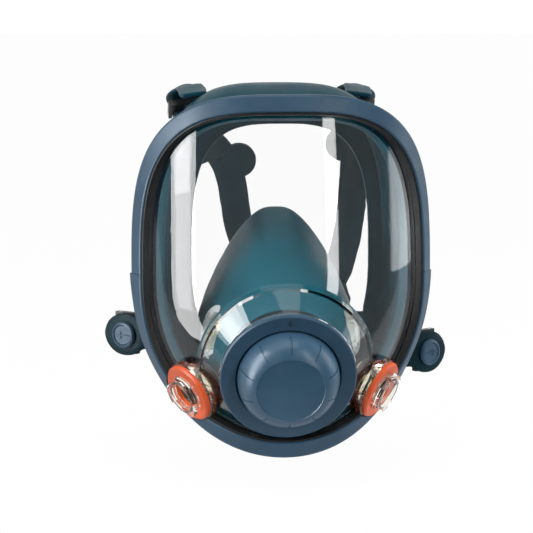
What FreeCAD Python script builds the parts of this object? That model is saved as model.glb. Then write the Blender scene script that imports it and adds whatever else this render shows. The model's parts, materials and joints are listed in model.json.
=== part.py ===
import FreeCAD, Part
import math
import os
import re

import Sketcher
from FreeCAD import Placement, Rotation, Vector

# Full face respirator: a clear wrap-round visor held in a two-part plastic frame, a rubber face seal
# behind it, a nose cup, a round front unit with the exhalation valve and speech diaphragm, two inlet
# ports for filters, and a four-strap rubber head harness.
#
# Frame of the part: +X to the right as seen from the front, -Y out of the front of the mask, +Z up.
# The plane y = 0 is the rim of the face seal, where the wearer's face meets the mask.

SIZES = {
    # visor: an upright elliptic shell whose centre line leans back at the brow and curls in at the chin
    "visor_front_y": -105.0,
    "visor_front_z": -20.0,
    "brow_radius": 530.0,
    "chin_radius": 217.0,
    "visor_semi_width": 92.0,
    "visor_semi_depth": 65.0,
    "chin_taper": 0.35,
    "chin_taper_height": 120.0,
    "visor_wall": 2.4,
    # line that the visor edge, the gasket, the frame and the face seal all follow
    "window_half_width": 84.5,
    "window_top": 106.0,
    "window_bottom": 98.0,
    "brow_power": 3.3,
    "chin_power": 2.05,
    # frame section: across the band (inward and outward of the window line) and along the normal
    "band_inner": 4.0,
    "band_outer": 7.0,
    "band_front": 5.5,
    "flange_wall": 2.5,
    "channel_wall": 2.4,
    "frame_rear": 11.0,
    "frame_corner": 1.8,
    "split_height": 4.0,
    "split_gap": 0.3,
    "lower_step": 2.0,
    "lower_step_height": 26.0,
    "seat_clearance": 0.15,
    # screw lugs where the two frame halves meet
    "lug_radius": 4.6,
    "lug_height": 10.0,
    "screw_radius": 1.75,
    "screw_hole_radius": 1.85,
    "screw_head_radius": 3.2,
    "screw_head_height": 2.2,
    "nut_radius": 3.4,
    "nut_height": 2.6,
    # black edge gasket
    "visor_overlap": 3.0,
    "gasket_lip": 1.2,
    "gasket_lip_height": 4.2,
    "gasket_rear": 5.0,
    # face seal: bead in the frame, skirt, rolled rim and inturned flap
    "seal_wall": 2.6,
    "seal_half_width": 76.0,
    "seal_top": 118.0,
    "seal_bottom": 104.0,
    "seal_rim_y": 0.0,
    "seal_shoulder_y": -18.0,
    "opening_half_width": 54.0,
    "opening_top": 90.0,
    "opening_bottom": 86.0,
    "brow_sector_side": 37.0,
    "chin_sector_side": 28.0,
    "sector_brow": 56.0,
    "sector_jaw": 44.0,
    "opening_y": -7.0,
    # front unit: ring housing, lock nut, gasket, cap, valve plate
    "unit_y": -108.0,
    "unit_z": -53.8,
    "unit_tilt": 17.0,
    "ring_radius": 41.0,
    "ring_height": 3.0,
    "ring_bevel": 0.8,
    "ring_recess_radius": 31.5,
    "ring_recess_depth": 4.0,
    "tube_outer_radius": 32.8,
    "tube_bore_radius": 29.2,
    "tube_length": 24.0,
    "visor_hole_clearance": 0.4,
    "boss_wall": 2.6,
    "boss_base_radius": 52.0,
    "boss_height": 12.0,
    "boss_root_radius": 57.0,
    "boss_root_depth": 35.0,
    "unit_gasket_inner": 35.0,
    "unit_gasket_outer": 39.5,
    "unit_gasket_height": 1.9,
    "nut_ring_radius": 40.0,
    "nut_ring_height": 5.5,
    "nut_ring_notch": 5.0,
    "nut_ring_notches": 8,
    "cap_radius": 30.5,
    "cap_height": 16.0,
    "cap_face_radius": 22.0,
    "cap_wall": 2.2,
    "cap_spigot_length": 3.4,
    "cap_running_gap": 0.2,
    "cap_notches": 10,
    "cap_notch_width": 6.0,
    "plate_height": 3.0,
    "plate_depth": 11.0,
    "port_offset": 14.2,
    "valve_port_radius": 11.0,
    "valve_disc_radius": 12.6,
    "valve_disc_height": 0.9,
    "valve_gap": 0.3,
    "valve_travel": 1.2,
    "valve_stem_radius": 1.6,
    "spoke_width": 1.8,
    "hub_radius": 3.4,
    "speech_port_radius": 10.5,
    "speech_seat_radius": 12.4,
    "diaphragm_height": 0.6,
    "speech_ring_height": 1.6,
    # inlet ports
    "inlet_x": 57.6,
    "inlet_y": -83.0,
    "inlet_z": -66.2,
    "inlet_yaw": 57.0,
    "inlet_dip": 23.0,
    "collar_radius": 19.2,
    "collar_rim": 4.0,
    "collar_neck_radius": 16.4,
    "backing_depth": 16.0,
    "port_clearance": 0.3,
    "inlet_gasket_radius": 18.4,
    "inlet_gasket_height": 2.8,
    "inlet_tube_radius": 10.5,
    "inlet_bore_radius": 9.2,
    "inlet_stand": 7.6,
    "inlet_end": 1.4,
    "inlet_web": 1.6,
    "inlet_stop": 4.4,
    "inlet_shoulder": 0.8,
    "inlet_lugs": 3,
    "inlet_lug_radius": 13.6,
    "inlet_lug_height": 2.6,
    "inlet_lug_angle": 50.0,
    "inlet_nut_radius": 14.0,
    # nose cup
    "cup_wall": 2.0,
    "cup_peak": 40.0,
    "cup_half_width": 51.0,
    "cup_wide_z": -38.0,
    "cup_bottom": 78.0,
    "cup_rim_y": -13.0,
    "cup_peak_power": 1.2,
    "cup_side_power": 0.58,
    "cup_swell": 3.0,
    "cup_collar_radius": 35.4,
    "cup_collar_depth": 19.0,
    "cup_collar_length": 6.0,
    "cup_valve_x": 39.5,
    "cup_valve_y": -57.0,
    "cup_valve_z": -34.6,
    "cup_valve_yaw": 65.5,
    "cup_valve_rise": 10.7,
    "cup_seat_radius": 17.0,
    "cup_seat_port": 11.5,
    "cup_seat_height": 7.0,
    "cup_seat_wall": 2.0,
    # ears of the face seal, with the studs and buckles that they carry
    "ear_x": 96.0,
    "ear_y": -34.0,
    "ear_z": -46.0,
    "ear_sag": 7.0,
    "ear_yaw": 36.0,
    "ear_radius": 13.2,
    "ear_wall": 3.0,
    "top_ear_x": 55.0,
    "top_ear_y": 17.0,
    "top_ear_z": 108.5,
    "top_ear_crest": 114.5,
    "top_ear_fall": 34.0,
    "top_ear_roll": 12.0,
    "stud_radius": 8.4,
    "stud_height": 2.6,
    "stud_shank_radius": 2.5,
    "buckle_drop": 6.9,
    "buckle_height": 4.0,
    "buckle_cheek": 2.2,
    "buckle_tongue": 8.0,
    "roller_offset": 8.7,
    "roller_radius": 2.4,
    "roller_pin_radius": 1.2,
    "pin_clearance": 0.08,
    # straps and crown pad
    "strap_width": 21.0,
    "strap_height": 2.2,
    "strap_clearance": 0.35,
    "harness_sway": 12.0,
    "pad_y": 74.0,
    "pad_z": -46.0,
    "pad_width": 92.0,
    "pad_height": 64.0,
    "pad_wall": 3.5,
    "pad_wrap": 12.0,
}

os.makedirs("parts", exist_ok=True)
doc = FreeCAD.newDocument("respirator")
sheet = doc.addObject("Spreadsheet::Sheet", "Size")
for row, (alias, amount) in enumerate(SIZES.items(), start=1):
    sheet.set(f"A{row}", alias.replace("_", " "))
    sheet.set(f"B{row}", str(amount))
    sheet.setAlias(f"B{row}", alias)
doc.recompute()


def size(alias):
    """Value of a sheet cell, in millimetres or degrees."""
    return float(getattr(sheet, alias))


# ---------------------------------------------------------------------------------------------
# visor surface


def visor_point(x, z):
    """Point of the visor's outer surface above (x, z), on an ellipse that narrows towards the chin."""
    drop = z - size("visor_front_z")
    radius = size("brow_radius") if drop > 0 else size("chin_radius")
    front = size("visor_front_y") + radius - math.sqrt(radius * radius - drop * drop)
    turn = min(max(-z, 0.0), size("chin_taper_height")) / size("chin_taper_height")
    narrow = 1 - size("chin_taper") * (1 - math.cos(math.pi * turn)) / 2
    sine = x / (size("visor_semi_width") * narrow)
    return Vector(x, front + size("visor_semi_depth") * (1 - math.sqrt(1 - sine * sine)), z)


def visor_half_span(z):
    """Half width of the visor's ellipse at height z."""
    turn = min(max(-z, 0.0), size("chin_taper_height")) / size("chin_taper_height")
    return size("visor_semi_width") * (1 - size("chin_taper") * (1 - math.cos(math.pi * turn)) / 2)


def visor_normal(x, z):
    """Unit normal of the visor's outer surface, pointing out of the front."""
    step = 0.05
    across = visor_point(x + step, z) - visor_point(x - step, z)
    upward = visor_point(x, z + step) - visor_point(x, z - step)
    return across.cross(upward).normalize()


def visor_skin(depth):
    """Spline face parallel to the visor's outer surface, depth inside it."""
    low = -size("window_bottom") - 18
    high = size("window_top") + 16
    rows = 19
    columns = 25
    reach = math.radians(79)
    grid = []
    for row in range(rows):
        z = low + (high - low) * row / (rows - 1)
        line = []
        for column in range(columns):
            angle = reach * (2 * column / (columns - 1) - 1)
            x = visor_half_span(z) * math.sin(angle)
            line.append(visor_point(x, z) - visor_normal(x, z) * depth)
        grid.append(line)
    surface = Part.BSplineSurface()
    surface.interpolate(grid)
    return surface.toShape()


def behind_skin(depth):
    """Solid that fills everything behind the face parallel to the visor at the given depth."""
    return visor_skin(depth).extrude(Vector(0, 160, 0))


# ---------------------------------------------------------------------------------------------
# window line


def oval_point(angle, half_width, top, bottom):
    """Point (x, z) of the rounded outline at an angle from +X, with a squarer brow than chin."""
    power = size("brow_power") if math.sin(angle) >= 0 else size("chin_power")
    height = top if math.sin(angle) >= 0 else bottom
    cosine = math.cos(angle)
    sine = math.sin(angle)
    x = half_width * math.copysign(abs(cosine) ** (2 / power), cosine)
    z = height * math.copysign(abs(sine) ** (2 / power), sine)
    return x, z


def even_angles(first, last, count, half_width, top, bottom):
    """Angles of count + 1 points spaced evenly along the outline between two angles."""
    fine = 1440
    angles = [first + (last - first) * i / fine for i in range(fine + 1)]
    points = [oval_point(angle, half_width, top, bottom) for angle in angles]
    lengths = [0.0]
    for before, after in zip(points, points[1:]):
        lengths.append(lengths[-1] + math.dist(before, after))
    chosen = []
    index = 0
    for i in range(count + 1):
        goal = lengths[-1] * i / count
        while index < fine - 1 and lengths[index + 1] < goal:
            index += 1
        share = (goal - lengths[index]) / (lengths[index + 1] - lengths[index])
        chosen.append(angles[index] + share * (angles[index + 1] - angles[index]))
    return chosen


def window_xz(angle):
    return oval_point(angle, size("window_half_width"), size("window_top"), size("window_bottom"))


def window_angles(first, last, count):
    return even_angles(first, last, count, size("window_half_width"), size("window_top"),
                       size("window_bottom"))


def window_axes(angle):
    """Origin on the visor surface, outward direction within the surface, and normal, at an angle."""
    step = 0.002
    origin = visor_point(*window_xz(angle))
    along = visor_point(*window_xz(angle + step)) - visor_point(*window_xz(angle - step))
    normal = visor_normal(*window_xz(angle))
    outward = along.cross(normal).normalize()
    if outward.dot(Vector(origin.x, 0, origin.z)) < 0:
        outward = outward * -1
    return origin, outward, normal


def angle_at_height(height, side):
    """Angle of the window line where it crosses a height, side +1 for +X and -1 for -X."""
    low = -math.pi / 2
    high = math.pi / 2
    for _ in range(50):
        middle = (low + high) / 2
        if window_xz(middle)[1] < height:
            low = middle
        else:
            high = middle
    return low if side > 0 else math.pi - low


def rounded_wire(corners, place):
    """Closed wire through corners (a, b, radius), each eased by its radius, mapped by place(a, b)."""
    count = len(corners)
    points = []
    for i, (a, b, radius) in enumerate(corners):
        corner = Vector(a, b, 0)
        before = (Vector(*corners[i - 1][:2], 0) - corner).normalize()
        after = (Vector(*corners[(i + 1) % count][:2], 0) - corner).normalize()
        half = before.getAngle(after) / 2
        reach = radius / math.tan(half)
        start = corner + before * reach
        end = corner + after * reach
        bisector = (before + after).normalize()
        middle = corner + bisector * (radius / math.sin(half) - radius)
        if radius > 0:
            points += [place(start.x, start.y), place(middle.x, middle.y), place(end.x, end.y)]
        else:
            points.append(place(a, b))
    return Part.makePolygon(points + points[:1])


def window_section(corners, angle):
    """Section wire across the window line: a is outward in the surface, b along the normal."""
    origin, outward, normal = window_axes(angle)
    return rounded_wire(corners, lambda a, b: origin + outward * a + normal * b)


def window_loft(corners_at, first, last, count=26):
    """Solid swept along the window line between two angles, its section given by corners_at(angle)."""
    angles = window_angles(first, last, count)
    return Part.makeLoft([window_section(corners_at(angle), angle) for angle in angles], True)


def mirrored(shape):
    """Copy of a shape on the other side of the plane x = 0."""
    return shape.mirror(Vector(0, 0, 0), Vector(1, 0, 0))


def window_ring(corners):
    """Closed ring that carries one section all the way along the window line."""
    half = window_loft(lambda angle: corners, -math.pi / 2, math.pi / 2)
    return half.fuse(mirrored(half))


def largest_solid(shape):
    return max(shape.Solids, key=lambda solid: solid.Volume)


def feature(label, shape):
    """Document object for a piece whose form is computed from the sheet."""
    piece = doc.addObject("Part::Feature", label)
    piece.Label = label
    piece.Shape = shape
    return piece


# ---------------------------------------------------------------------------------------------
# parametric bodies


def bound(text):
    """Expression text with every size name pointed at the sheet, functions such as cos( left alone."""
    return re.sub(r"\b[a-z]\w*\b(?!\()", lambda name: "Size." + name.group(), text)


def amount_of(text):
    """Number that an expression over the sheet's sizes has now."""
    return float(sheet.evalExpression(bound(text)))


def new_body(label, placement=Placement()):
    """Empty PartDesign body in its place."""
    body = doc.addObject("PartDesign::Body", label)
    body.Label = label
    body.Placement = placement
    return body


def origin_plane(body, role):
    """One of the body's own origin planes, found by its role."""
    return next(item for item in body.Origin.OriginFeatures if item.Role == role)


def new_sketch(body, name, role, rise="0"):
    """Sketch on an origin plane of the body, lifted along the plane's normal by an expression."""
    sketch = body.newObject("Sketcher::SketchObject", name)
    sketch.AttachmentSupport = [(origin_plane(body, role), "")]
    sketch.MapMode = "FlatFace"
    sketch.setExpression(".AttachmentOffset.Base.z", bound(rise))
    return sketch


def draw_outline(sketch, vertices):
    """Closed outline of lines whose vertices are pairs of expressions, each bound to the sheet."""
    first = sketch.GeometryCount
    points = [Vector(amount_of(a), amount_of(b), 0) for a, b in vertices]
    count = len(points)
    for i in range(count):
        sketch.addGeometry(Part.LineSegment(points[i], points[(i + 1) % count]), False)
    for i in range(count):
        sketch.addConstraint(Sketcher.Constraint("Coincident", first + i, 2, first + (i + 1) % count, 1))
    for i, pair in enumerate(vertices):
        for kind, text, value in zip(("DistanceX", "DistanceY"), pair, (points[i].x, points[i].y)):
            rule = sketch.addConstraint(Sketcher.Constraint(kind, -1, 1, first + i, 1, value))
            sketch.setExpression(f"Constraints[{rule}]", bound(text))


def draw_circle(sketch, across, upward, radius):
    """Circle with its centre and radius bound to the sheet."""
    centre = Vector(amount_of(across), amount_of(upward), 0)
    index = sketch.addGeometry(Part.Circle(centre, Vector(0, 0, 1), amount_of(radius)), False)
    rules = (("DistanceX", across, centre.x), ("DistanceY", upward, centre.y))
    for kind, text, value in rules:
        rule = sketch.addConstraint(Sketcher.Constraint(kind, -1, 1, index, 3, value))
        sketch.setExpression(f"Constraints[{rule}]", bound(text))
    rule = sketch.addConstraint(Sketcher.Constraint("Radius", index, amount_of(radius)))
    sketch.setExpression(f"Constraints[{rule}]", bound(radius))


def revolve(body, vertices):
    """Revolution of an outline (radius, height) about the body's Z axis."""
    sketch = new_sketch(body, "profile", "XZ_Plane")
    draw_outline(sketch, vertices)
    turned = body.newObject("PartDesign::Revolution", "turned")
    turned.Profile = sketch
    turned.ReferenceAxis = (sketch, ["V_Axis"])
    turned.Angle = 360
    sketch.Visibility = False
    return turned


def pad(body, vertices, low, length, circles=()):
    """Pad of an outline or of circles, from height low upwards."""
    sketch = new_sketch(body, "outline", "XY_Plane", low)
    if vertices:
        draw_outline(sketch, vertices)
    for circle in circles:
        draw_circle(sketch, *circle)
    block = body.newObject("PartDesign::Pad", "block")
    block.Profile = sketch
    block.setExpression("Length", bound(length))
    return block


def pocket(body, vertices, low, length, circles=()):
    """Pocket of an outline or of circles, from height low upwards, checked to remove material."""
    doc.recompute()
    before = body.Shape.Volume
    sketch = new_sketch(body, "cutout", "XY_Plane", low)
    if vertices:
        draw_outline(sketch, vertices)
    for circle in circles:
        draw_circle(sketch, *circle)
    hollow = body.newObject("PartDesign::Pocket", "hollow")
    hollow.Profile = sketch
    hollow.Reversed = True
    hollow.setExpression("Length", bound(length))
    doc.recompute()
    if body.Shape.Volume >= before:
        raise ValueError(body.Label + ": pocket removes nothing")
    return hollow


def polar(body, source, copies):
    """Polar pattern of one feature about the body's Z axis."""
    pattern = body.newObject("PartDesign::PolarPattern", "around")
    pattern.Originals = [source]
    pattern.Axis = (source.Profile[0], ["N_Axis"])
    pattern.Angle = 360
    pattern.setExpression("Occurrences", bound(copies))
    body.Tip = pattern
    return pattern


def facing(direction):
    """Rotation that turns the local Z axis to a direction and keeps the local Y axis upright."""
    forward = Vector(direction).normalize()
    across = Vector(0, 0, 1).cross(forward).normalize()
    return Rotation(across, forward.cross(across), forward, "ZXY")


def heading(yaw, rise, side):
    """Unit direction turned from the front towards a side by yaw and lifted by rise, in degrees."""
    yaw = math.radians(yaw)
    rise = math.radians(rise)
    level = math.cos(rise)
    return Vector(side * math.sin(yaw) * level, -math.cos(yaw) * level, math.sin(rise))


def turned_solid(vertices, place):
    """Solid of revolution of (radius, height) about the local Z axis of a placement."""
    points = [Vector(radius, 0, height) for radius, height in vertices]
    face = Part.Face(Part.makePolygon(points + points[:1]))
    solid = face.revolve(Vector(0, 0, 0), Vector(0, 0, 1), 360)
    solid.Placement = place
    return solid


def cylinder(radius, low, high, place):
    """Cylinder about the local Z axis of a placement, between two heights."""
    return turned_solid([(0, low), (radius, low), (radius, high), (0, high)], place)


UNIT = Placement(
    Vector(0, size("unit_y"), size("unit_z")), facing(heading(0, -size("unit_tilt"), 1))
)
SIDES = {"left": -1, "right": 1}


def inlet_place(side):
    """Placement of an inlet port: local Z along its axis, origin on the seat of its gasket."""
    base = Vector(side * size("inlet_x"), size("inlet_y"), size("inlet_z"))
    return Placement(base, facing(heading(size("inlet_yaw"), -size("inlet_dip"), side)))


def cup_valve_place(side):
    """Placement of a nose cup valve: local Z out of the cup, origin on the face of its boss."""
    base = Vector(side * size("cup_valve_x"), size("cup_valve_y"), size("cup_valve_z"))
    return Placement(base, facing(heading(size("cup_valve_yaw"), size("cup_valve_rise"), side)))


# ---------------------------------------------------------------------------------------------
# visor with its conical boss and port holes

ring_seat = -size("ring_height") - size("visor_hole_clearance")
window_margin = 5.0


def window_prism(margin):
    """Prism of the window outline, let out by a margin, along Y."""
    half_width = size("window_half_width") + margin / 2
    top = size("window_top") + margin
    bottom = size("window_bottom") + margin
    angles = even_angles(-math.pi / 2, 3 * math.pi / 2, 48, half_width, top, bottom)[:-1]
    corners = [oval_point(angle, half_width, top, bottom) for angle in angles]
    outline = Part.BSplineCurve()
    outline.interpolate([Vector(x, -135, z) for x, z in corners], PeriodicFlag=True)
    return Part.Face(Part.Wire(outline.toShape())).extrude(Vector(0, 140, 0))


def boss_solid(inset):
    """Cone that carries the ring housing, set in from its outer skin by inset."""
    foot = ring_seat - size("boss_height")
    return turned_solid(
        [
            (0, ring_seat - inset),
            (size("ring_radius") + 0.3 - 1.2 * inset, ring_seat - inset),
            (size("boss_base_radius") - 1.2 * inset, foot - 0.6 * inset),
            (size("boss_root_radius") - 1.2 * inset, -size("boss_root_depth") - 0.6 * inset),
            (0, -size("boss_root_depth") - 0.6 * inset),
        ],
        UNIT,
    )


skin_front = behind_skin(0)
skin_back = behind_skin(size("visor_wall"))
visor = skin_front.common(window_prism(window_margin)).fuse(boss_solid(0))
visor = visor.cut(skin_back).cut(boss_solid(size("boss_wall")))
visor = visor.cut(cylinder(size("ring_radius") + 0.6, ring_seat, 20, UNIT))
visor = visor.cut(cylinder(size("tube_outer_radius") + size("visor_hole_clearance"), -30, 5, UNIT))
for side in SIDES.values():
    hole = size("inlet_tube_radius") + size("seat_clearance")
    visor = visor.cut(cylinder(hole, -40, 20, inlet_place(side)))
edge = size("visor_overlap")
visor = visor.cut(window_ring([(edge, -6, 0), (edge, 4, 0), (edge + 11, 4, 0), (edge + 11, -6, 0)]))
feature("visor", largest_solid(visor))



def collar(place, margin):
    """Inlet collar, let out by a margin: a rim under the gasket on a narrower neck."""
    neck = size("collar_neck_radius") + margin
    rim = size("collar_radius") + margin
    foot = -size("collar_rim") - margin
    bore = size("inlet_tube_radius") + size("seat_clearance")
    return turned_solid(
        [
            (bore, -size("backing_depth")),
            (neck, -size("backing_depth")),
            (neck, foot - 2),
            (rim, foot),
            (rim, -0.8 + margin),
            (rim - 0.8, margin),
            (bore, margin),
        ],
        place,
    )


def port_relief(shape):
    """Notch a piece of the window's edge where the collars and gaskets of the ports stand over it."""
    for side in SIDES.values():
        place = inlet_place(side)
        margin = size("port_clearance")
        tool = collar(place, margin)
        tool = tool.fuse(cylinder(size("collar_radius") + margin, -0.8, 14, place))
        shape = shape.cut(tool.cut(skin_front))
        shape = shape.cut(cylinder(size("inlet_tube_radius") + margin, -22, 5, place))
    return shape


# black gasket that grips the visor's edge and shows as a lip inside the frame

gap = size("seat_clearance")
flange_back = size("band_front") - size("flange_wall")
channel_floor = size("band_outer") - size("channel_wall")
gasket_inner = -size("band_inner") - size("gasket_lip")
visor_back = -size("visor_wall") - gap
gasket = window_ring(
    [
        (gasket_inner, gap, 0),
        (gasket_inner, size("gasket_lip_height"), 0.5),
        (-size("band_inner") - gap, size("gasket_lip_height"), 0),
        (-size("band_inner") - gap, flange_back - gap, 0),
        (channel_floor - gap, flange_back - gap, 0),
        (channel_floor - gap, -size("gasket_rear"), 0),
        (-size("band_inner") + 1, -size("gasket_rear"), 0),
        (-size("band_inner") + 1, visor_back, 0),
        (edge + gap, visor_back, 0),
        (edge + gap, gap, 0),
    ]
)
feature("visor_gasket", largest_solid(port_relief(gasket)))

# frame halves: a channel round the gasket and the bead of the face seal, with a step at the joint

split_high = size("split_height") + size("split_gap") / 2
split_low = size("split_height") - size("split_gap") / 2


def frame_corners(step):
    """Channel section; step widens the band outwards."""
    outer = size("band_outer") + step
    inner = -size("band_inner")
    rear_inner = inner + 1
    corner = size("frame_corner")
    rear = -size("frame_rear")
    return [
        (inner, flange_back, 0),
        (inner, size("band_front"), 0.9),
        (outer, size("band_front"), corner),
        (outer, rear, corner),
        (rear_inner, rear, 0.9),
        (rear_inner, rear + size("flange_wall"), 0),
        (channel_floor, rear + size("flange_wall"), 0),
        (channel_floor, flange_back, 0),
    ]


def lower_corners(angle):
    """Section of the lower half, widened just below the joint."""
    below = (split_low - window_xz(angle)[1]) / size("lower_step_height")
    return frame_corners(size("lower_step") * (1 - min(max(below, 0), 1)) ** 2)


def lug_place(side):
    """Placement at the joint of the frame halves, on the axis of the screw behind the band."""
    origin, outward, normal = window_axes(angle_at_height(size("split_height"), side))
    centre = origin + outward * (size("band_outer") + size("nut_radius") + 0.8) - normal * 5
    return Placement(Vector(centre.x, centre.y, size("split_height")), Rotation())


overrun = 3.0
upper_frame = window_loft(
    lambda angle: frame_corners(0),
    angle_at_height(split_high - overrun, 1),
    angle_at_height(split_high - overrun, -1),
)
lower_frame = window_loft(
    lower_corners,
    angle_at_height(split_low + overrun, -1),
    angle_at_height(split_low + overrun, 1) + 2 * math.pi,
)
trim = Part.makeBox(300, 200, 60, Vector(-150, -150, split_high - 60))
upper_frame = upper_frame.cut(trim)
trim = Part.makeBox(300, 200, 60, Vector(-150, -150, split_low))
lower_frame = lower_frame.cut(trim)
half_gap = size("split_gap") / 2
screws = []
nuts = []
for side in SIDES.values():
    place = lug_place(side)
    reach = size("lug_height")
    upper_frame = upper_frame.fuse(cylinder(size("lug_radius"), half_gap, reach, place))
    lower_frame = lower_frame.fuse(cylinder(size("lug_radius"), -reach, -half_gap, place))
    bore = cylinder(size("screw_hole_radius"), -reach - 1, reach + 1, place)
    upper_frame = upper_frame.cut(bore)
    lower_frame = lower_frame.cut(bore)
    shank = size("screw_radius")
    head = size("screw_head_radius")
    screws.append(
        turned_solid(
            [
                (0, -reach - size("screw_head_height")),
                (head * 0.8, -reach - size("screw_head_height")),
                (head, -reach - size("screw_head_height") / 2),
                (head, -reach),
                (shank, -reach),
                (shank, reach + size("nut_height") + 1),
                (0, reach + size("nut_height") + 1),
            ],
            place,
        )
    )
    hexagon = Part.makePolygon(
        [
            Vector(size("nut_radius") * math.cos(k * math.pi / 3),
                   size("nut_radius") * math.sin(k * math.pi / 3), reach)
            for k in range(7)
        ]
    )
    nut = Part.Face(hexagon).extrude(Vector(0, 0, size("nut_height")))
    nut.Placement = place
    nuts.append(nut.cut(cylinder(shank + 0.02, reach - 1, reach + 6, place)))
feature("upper_frame", upper_frame)
feature("lower_frame", largest_solid(port_relief(lower_frame)))
feature("frame_screws", Part.makeCompound(screws))
feature("frame_nuts", Part.makeCompound(nuts))


# ---------------------------------------------------------------------------------------------
# front unit: ring housing, gasket, lock nut, valve plate, exhalation valve, speech diaphragm, cap


def spider(body, radius, upward, low, length):
    """Four windows round a hub, which leave a cross of spokes in a round port."""
    doc.recompute()
    before = body.Shape.Volume
    sketch = new_sketch(body, "windows", "XY_Plane", low)
    for sign_x, sign_y in ((1, 1), (-1, 1), (-1, -1), (1, -1)):
        side_x = f"{sign_x} * spoke_width / 2"
        side_y = f"{sign_y} * spoke_width / 2 + {upward}"
        corners = [
            (f"{sign_x} * hub_radius", side_y),
            (f"{sign_x} * {radius} * 0.98", side_y),
            (f"{sign_x} * {radius} * 0.88", f"{sign_y} * {radius} * 0.46 + {upward}"),
            (f"{sign_x} * {radius} * 0.46", f"{sign_y} * {radius} * 0.88 + {upward}"),
            (side_x, f"{sign_y} * {radius} * 0.98 + {upward}"),
            (side_x, f"{sign_y} * hub_radius + {upward}"),
        ]
        draw_outline(sketch, corners)
    hollow = body.newObject("PartDesign::Pocket", "port")
    hollow.Profile = sketch
    hollow.Reversed = True
    hollow.setExpression("Length", bound(length))
    doc.recompute()
    if body.Shape.Volume >= before:
        raise ValueError(body.Label + ": port removes nothing")


def valve_disc(label, radius, hub, place):
    """Flap with a stem through the hub of its seat: the seat face is local z = 0, opening along +Z."""
    body = new_body(label, place)
    knob = f"-({hub}) - valve_travel - valve_gap - 0.2"
    revolve(
        body,
        [
            ("0", "valve_gap + valve_disc_height + 0.4"),
            ("valve_stem_radius", "valve_gap + valve_disc_height + 0.4"),
            (radius, "valve_gap + valve_disc_height * 0.6"),
            (radius, "valve_gap"),
            ("valve_stem_radius", "valve_gap"),
            ("valve_stem_radius", knob),
            ("valve_stem_radius + 0.7", knob),
            ("valve_stem_radius * 0.6", f"{knob} - 2"),
            ("0", f"{knob} - 2"),
        ],
    )
    return body


unit_ring = new_body("exhale_housing", UNIT)
revolve(
    unit_ring,
    [
        ("tube_bore_radius", "-tube_length"),
        ("tube_outer_radius", "-tube_length"),
        ("tube_outer_radius", "-ring_height"),
        ("unit_gasket_inner", "-ring_height"),
        ("unit_gasket_inner", "-ring_height + unit_gasket_height"),
        ("unit_gasket_outer", "-ring_height + unit_gasket_height"),
        ("unit_gasket_outer", "-ring_height"),
        ("ring_radius", "-ring_height"),
        ("ring_radius", "-ring_bevel"),
        ("ring_radius - ring_bevel", "0"),
        ("ring_recess_radius + 0.5", "0"),
        ("ring_recess_radius", "-0.5"),
        ("ring_recess_radius", "-ring_recess_depth"),
        ("tube_bore_radius", "-ring_recess_depth"),
    ],
)
index_mark = pocket(
    unit_ring,
    [
        ("-0.5", "ring_recess_radius + 3"),
        ("0.5", "ring_recess_radius + 3"),
        ("0.5", "ring_radius - 2.5"),
        ("-0.5", "ring_radius - 2.5"),
    ],
    "-0.4",
    "1",
)

unit_gasket = new_body("exhale_housing_gasket", UNIT)
revolve(
    unit_gasket,
    [
        ("unit_gasket_inner + seat_clearance", "-ring_height - visor_hole_clearance + 0.05"),
        ("unit_gasket_outer - seat_clearance", "-ring_height - visor_hole_clearance + 0.05"),
        ("unit_gasket_outer - seat_clearance", "-ring_height + unit_gasket_height - 0.05"),
        ("unit_gasket_inner + seat_clearance", "-ring_height + unit_gasket_height - 0.05"),
    ],
)

nut_seat = "-ring_height - visor_hole_clearance - boss_wall"
lock_nut = new_body("exhale_lock_nut", UNIT)
revolve(
    lock_nut,
    [
        ("tube_outer_radius + 0.05", f"{nut_seat} - nut_ring_height"),
        ("nut_ring_radius - 2.5", f"{nut_seat} - nut_ring_height"),
        ("nut_ring_radius - 2", f"{nut_seat} - 0.05"),
        ("tube_outer_radius + 0.05", f"{nut_seat} - 0.05"),
    ],
)
notch = pocket(
    lock_nut,
    [
        ("nut_ring_radius - 4.5", "-nut_ring_notch / 2"),
        ("nut_ring_radius + 1", "-nut_ring_notch / 2"),
        ("nut_ring_radius + 1", "nut_ring_notch / 2"),
        ("nut_ring_radius - 4.5", "nut_ring_notch / 2"),
    ],
    f"{nut_seat} - nut_ring_height - 1",
    "nut_ring_height * 0.6 + 1",
)
polar(lock_nut, notch, "nut_ring_notches")

plate_top = "-plate_depth"
valve_plate = new_body("exhale_valve_plate", UNIT)
revolve(
    valve_plate,
    [
        ("0", "-plate_depth - plate_height"),
        ("tube_bore_radius - 0.05", "-plate_depth - plate_height"),
        ("tube_bore_radius - 0.05", plate_top),
        ("0", plate_top),
    ],
)
pocket(
    valve_plate,
    [],
    "-plate_depth - diaphragm_height - speech_ring_height",
    "8",
    [("0", "port_offset", "speech_seat_radius")],
)
pocket(
    valve_plate,
    [],
    "-plate_depth - plate_height - 1",
    "8",
    [("0", "port_offset", "speech_port_radius")],
)
pocket(
    valve_plate,
    [],
    "-plate_depth - plate_height - 1",
    "8",
    [("0", "-port_offset", "valve_stem_radius + 0.1")],
)
spider(valve_plate, "valve_port_radius", "-port_offset", "-plate_depth - plate_height - 1", "8")


def on_unit(up, height):
    """Placement on the front unit, moved within its plane and along its axis."""
    return UNIT.multiply(Placement(Vector(0, up, height), Rotation()))


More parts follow.
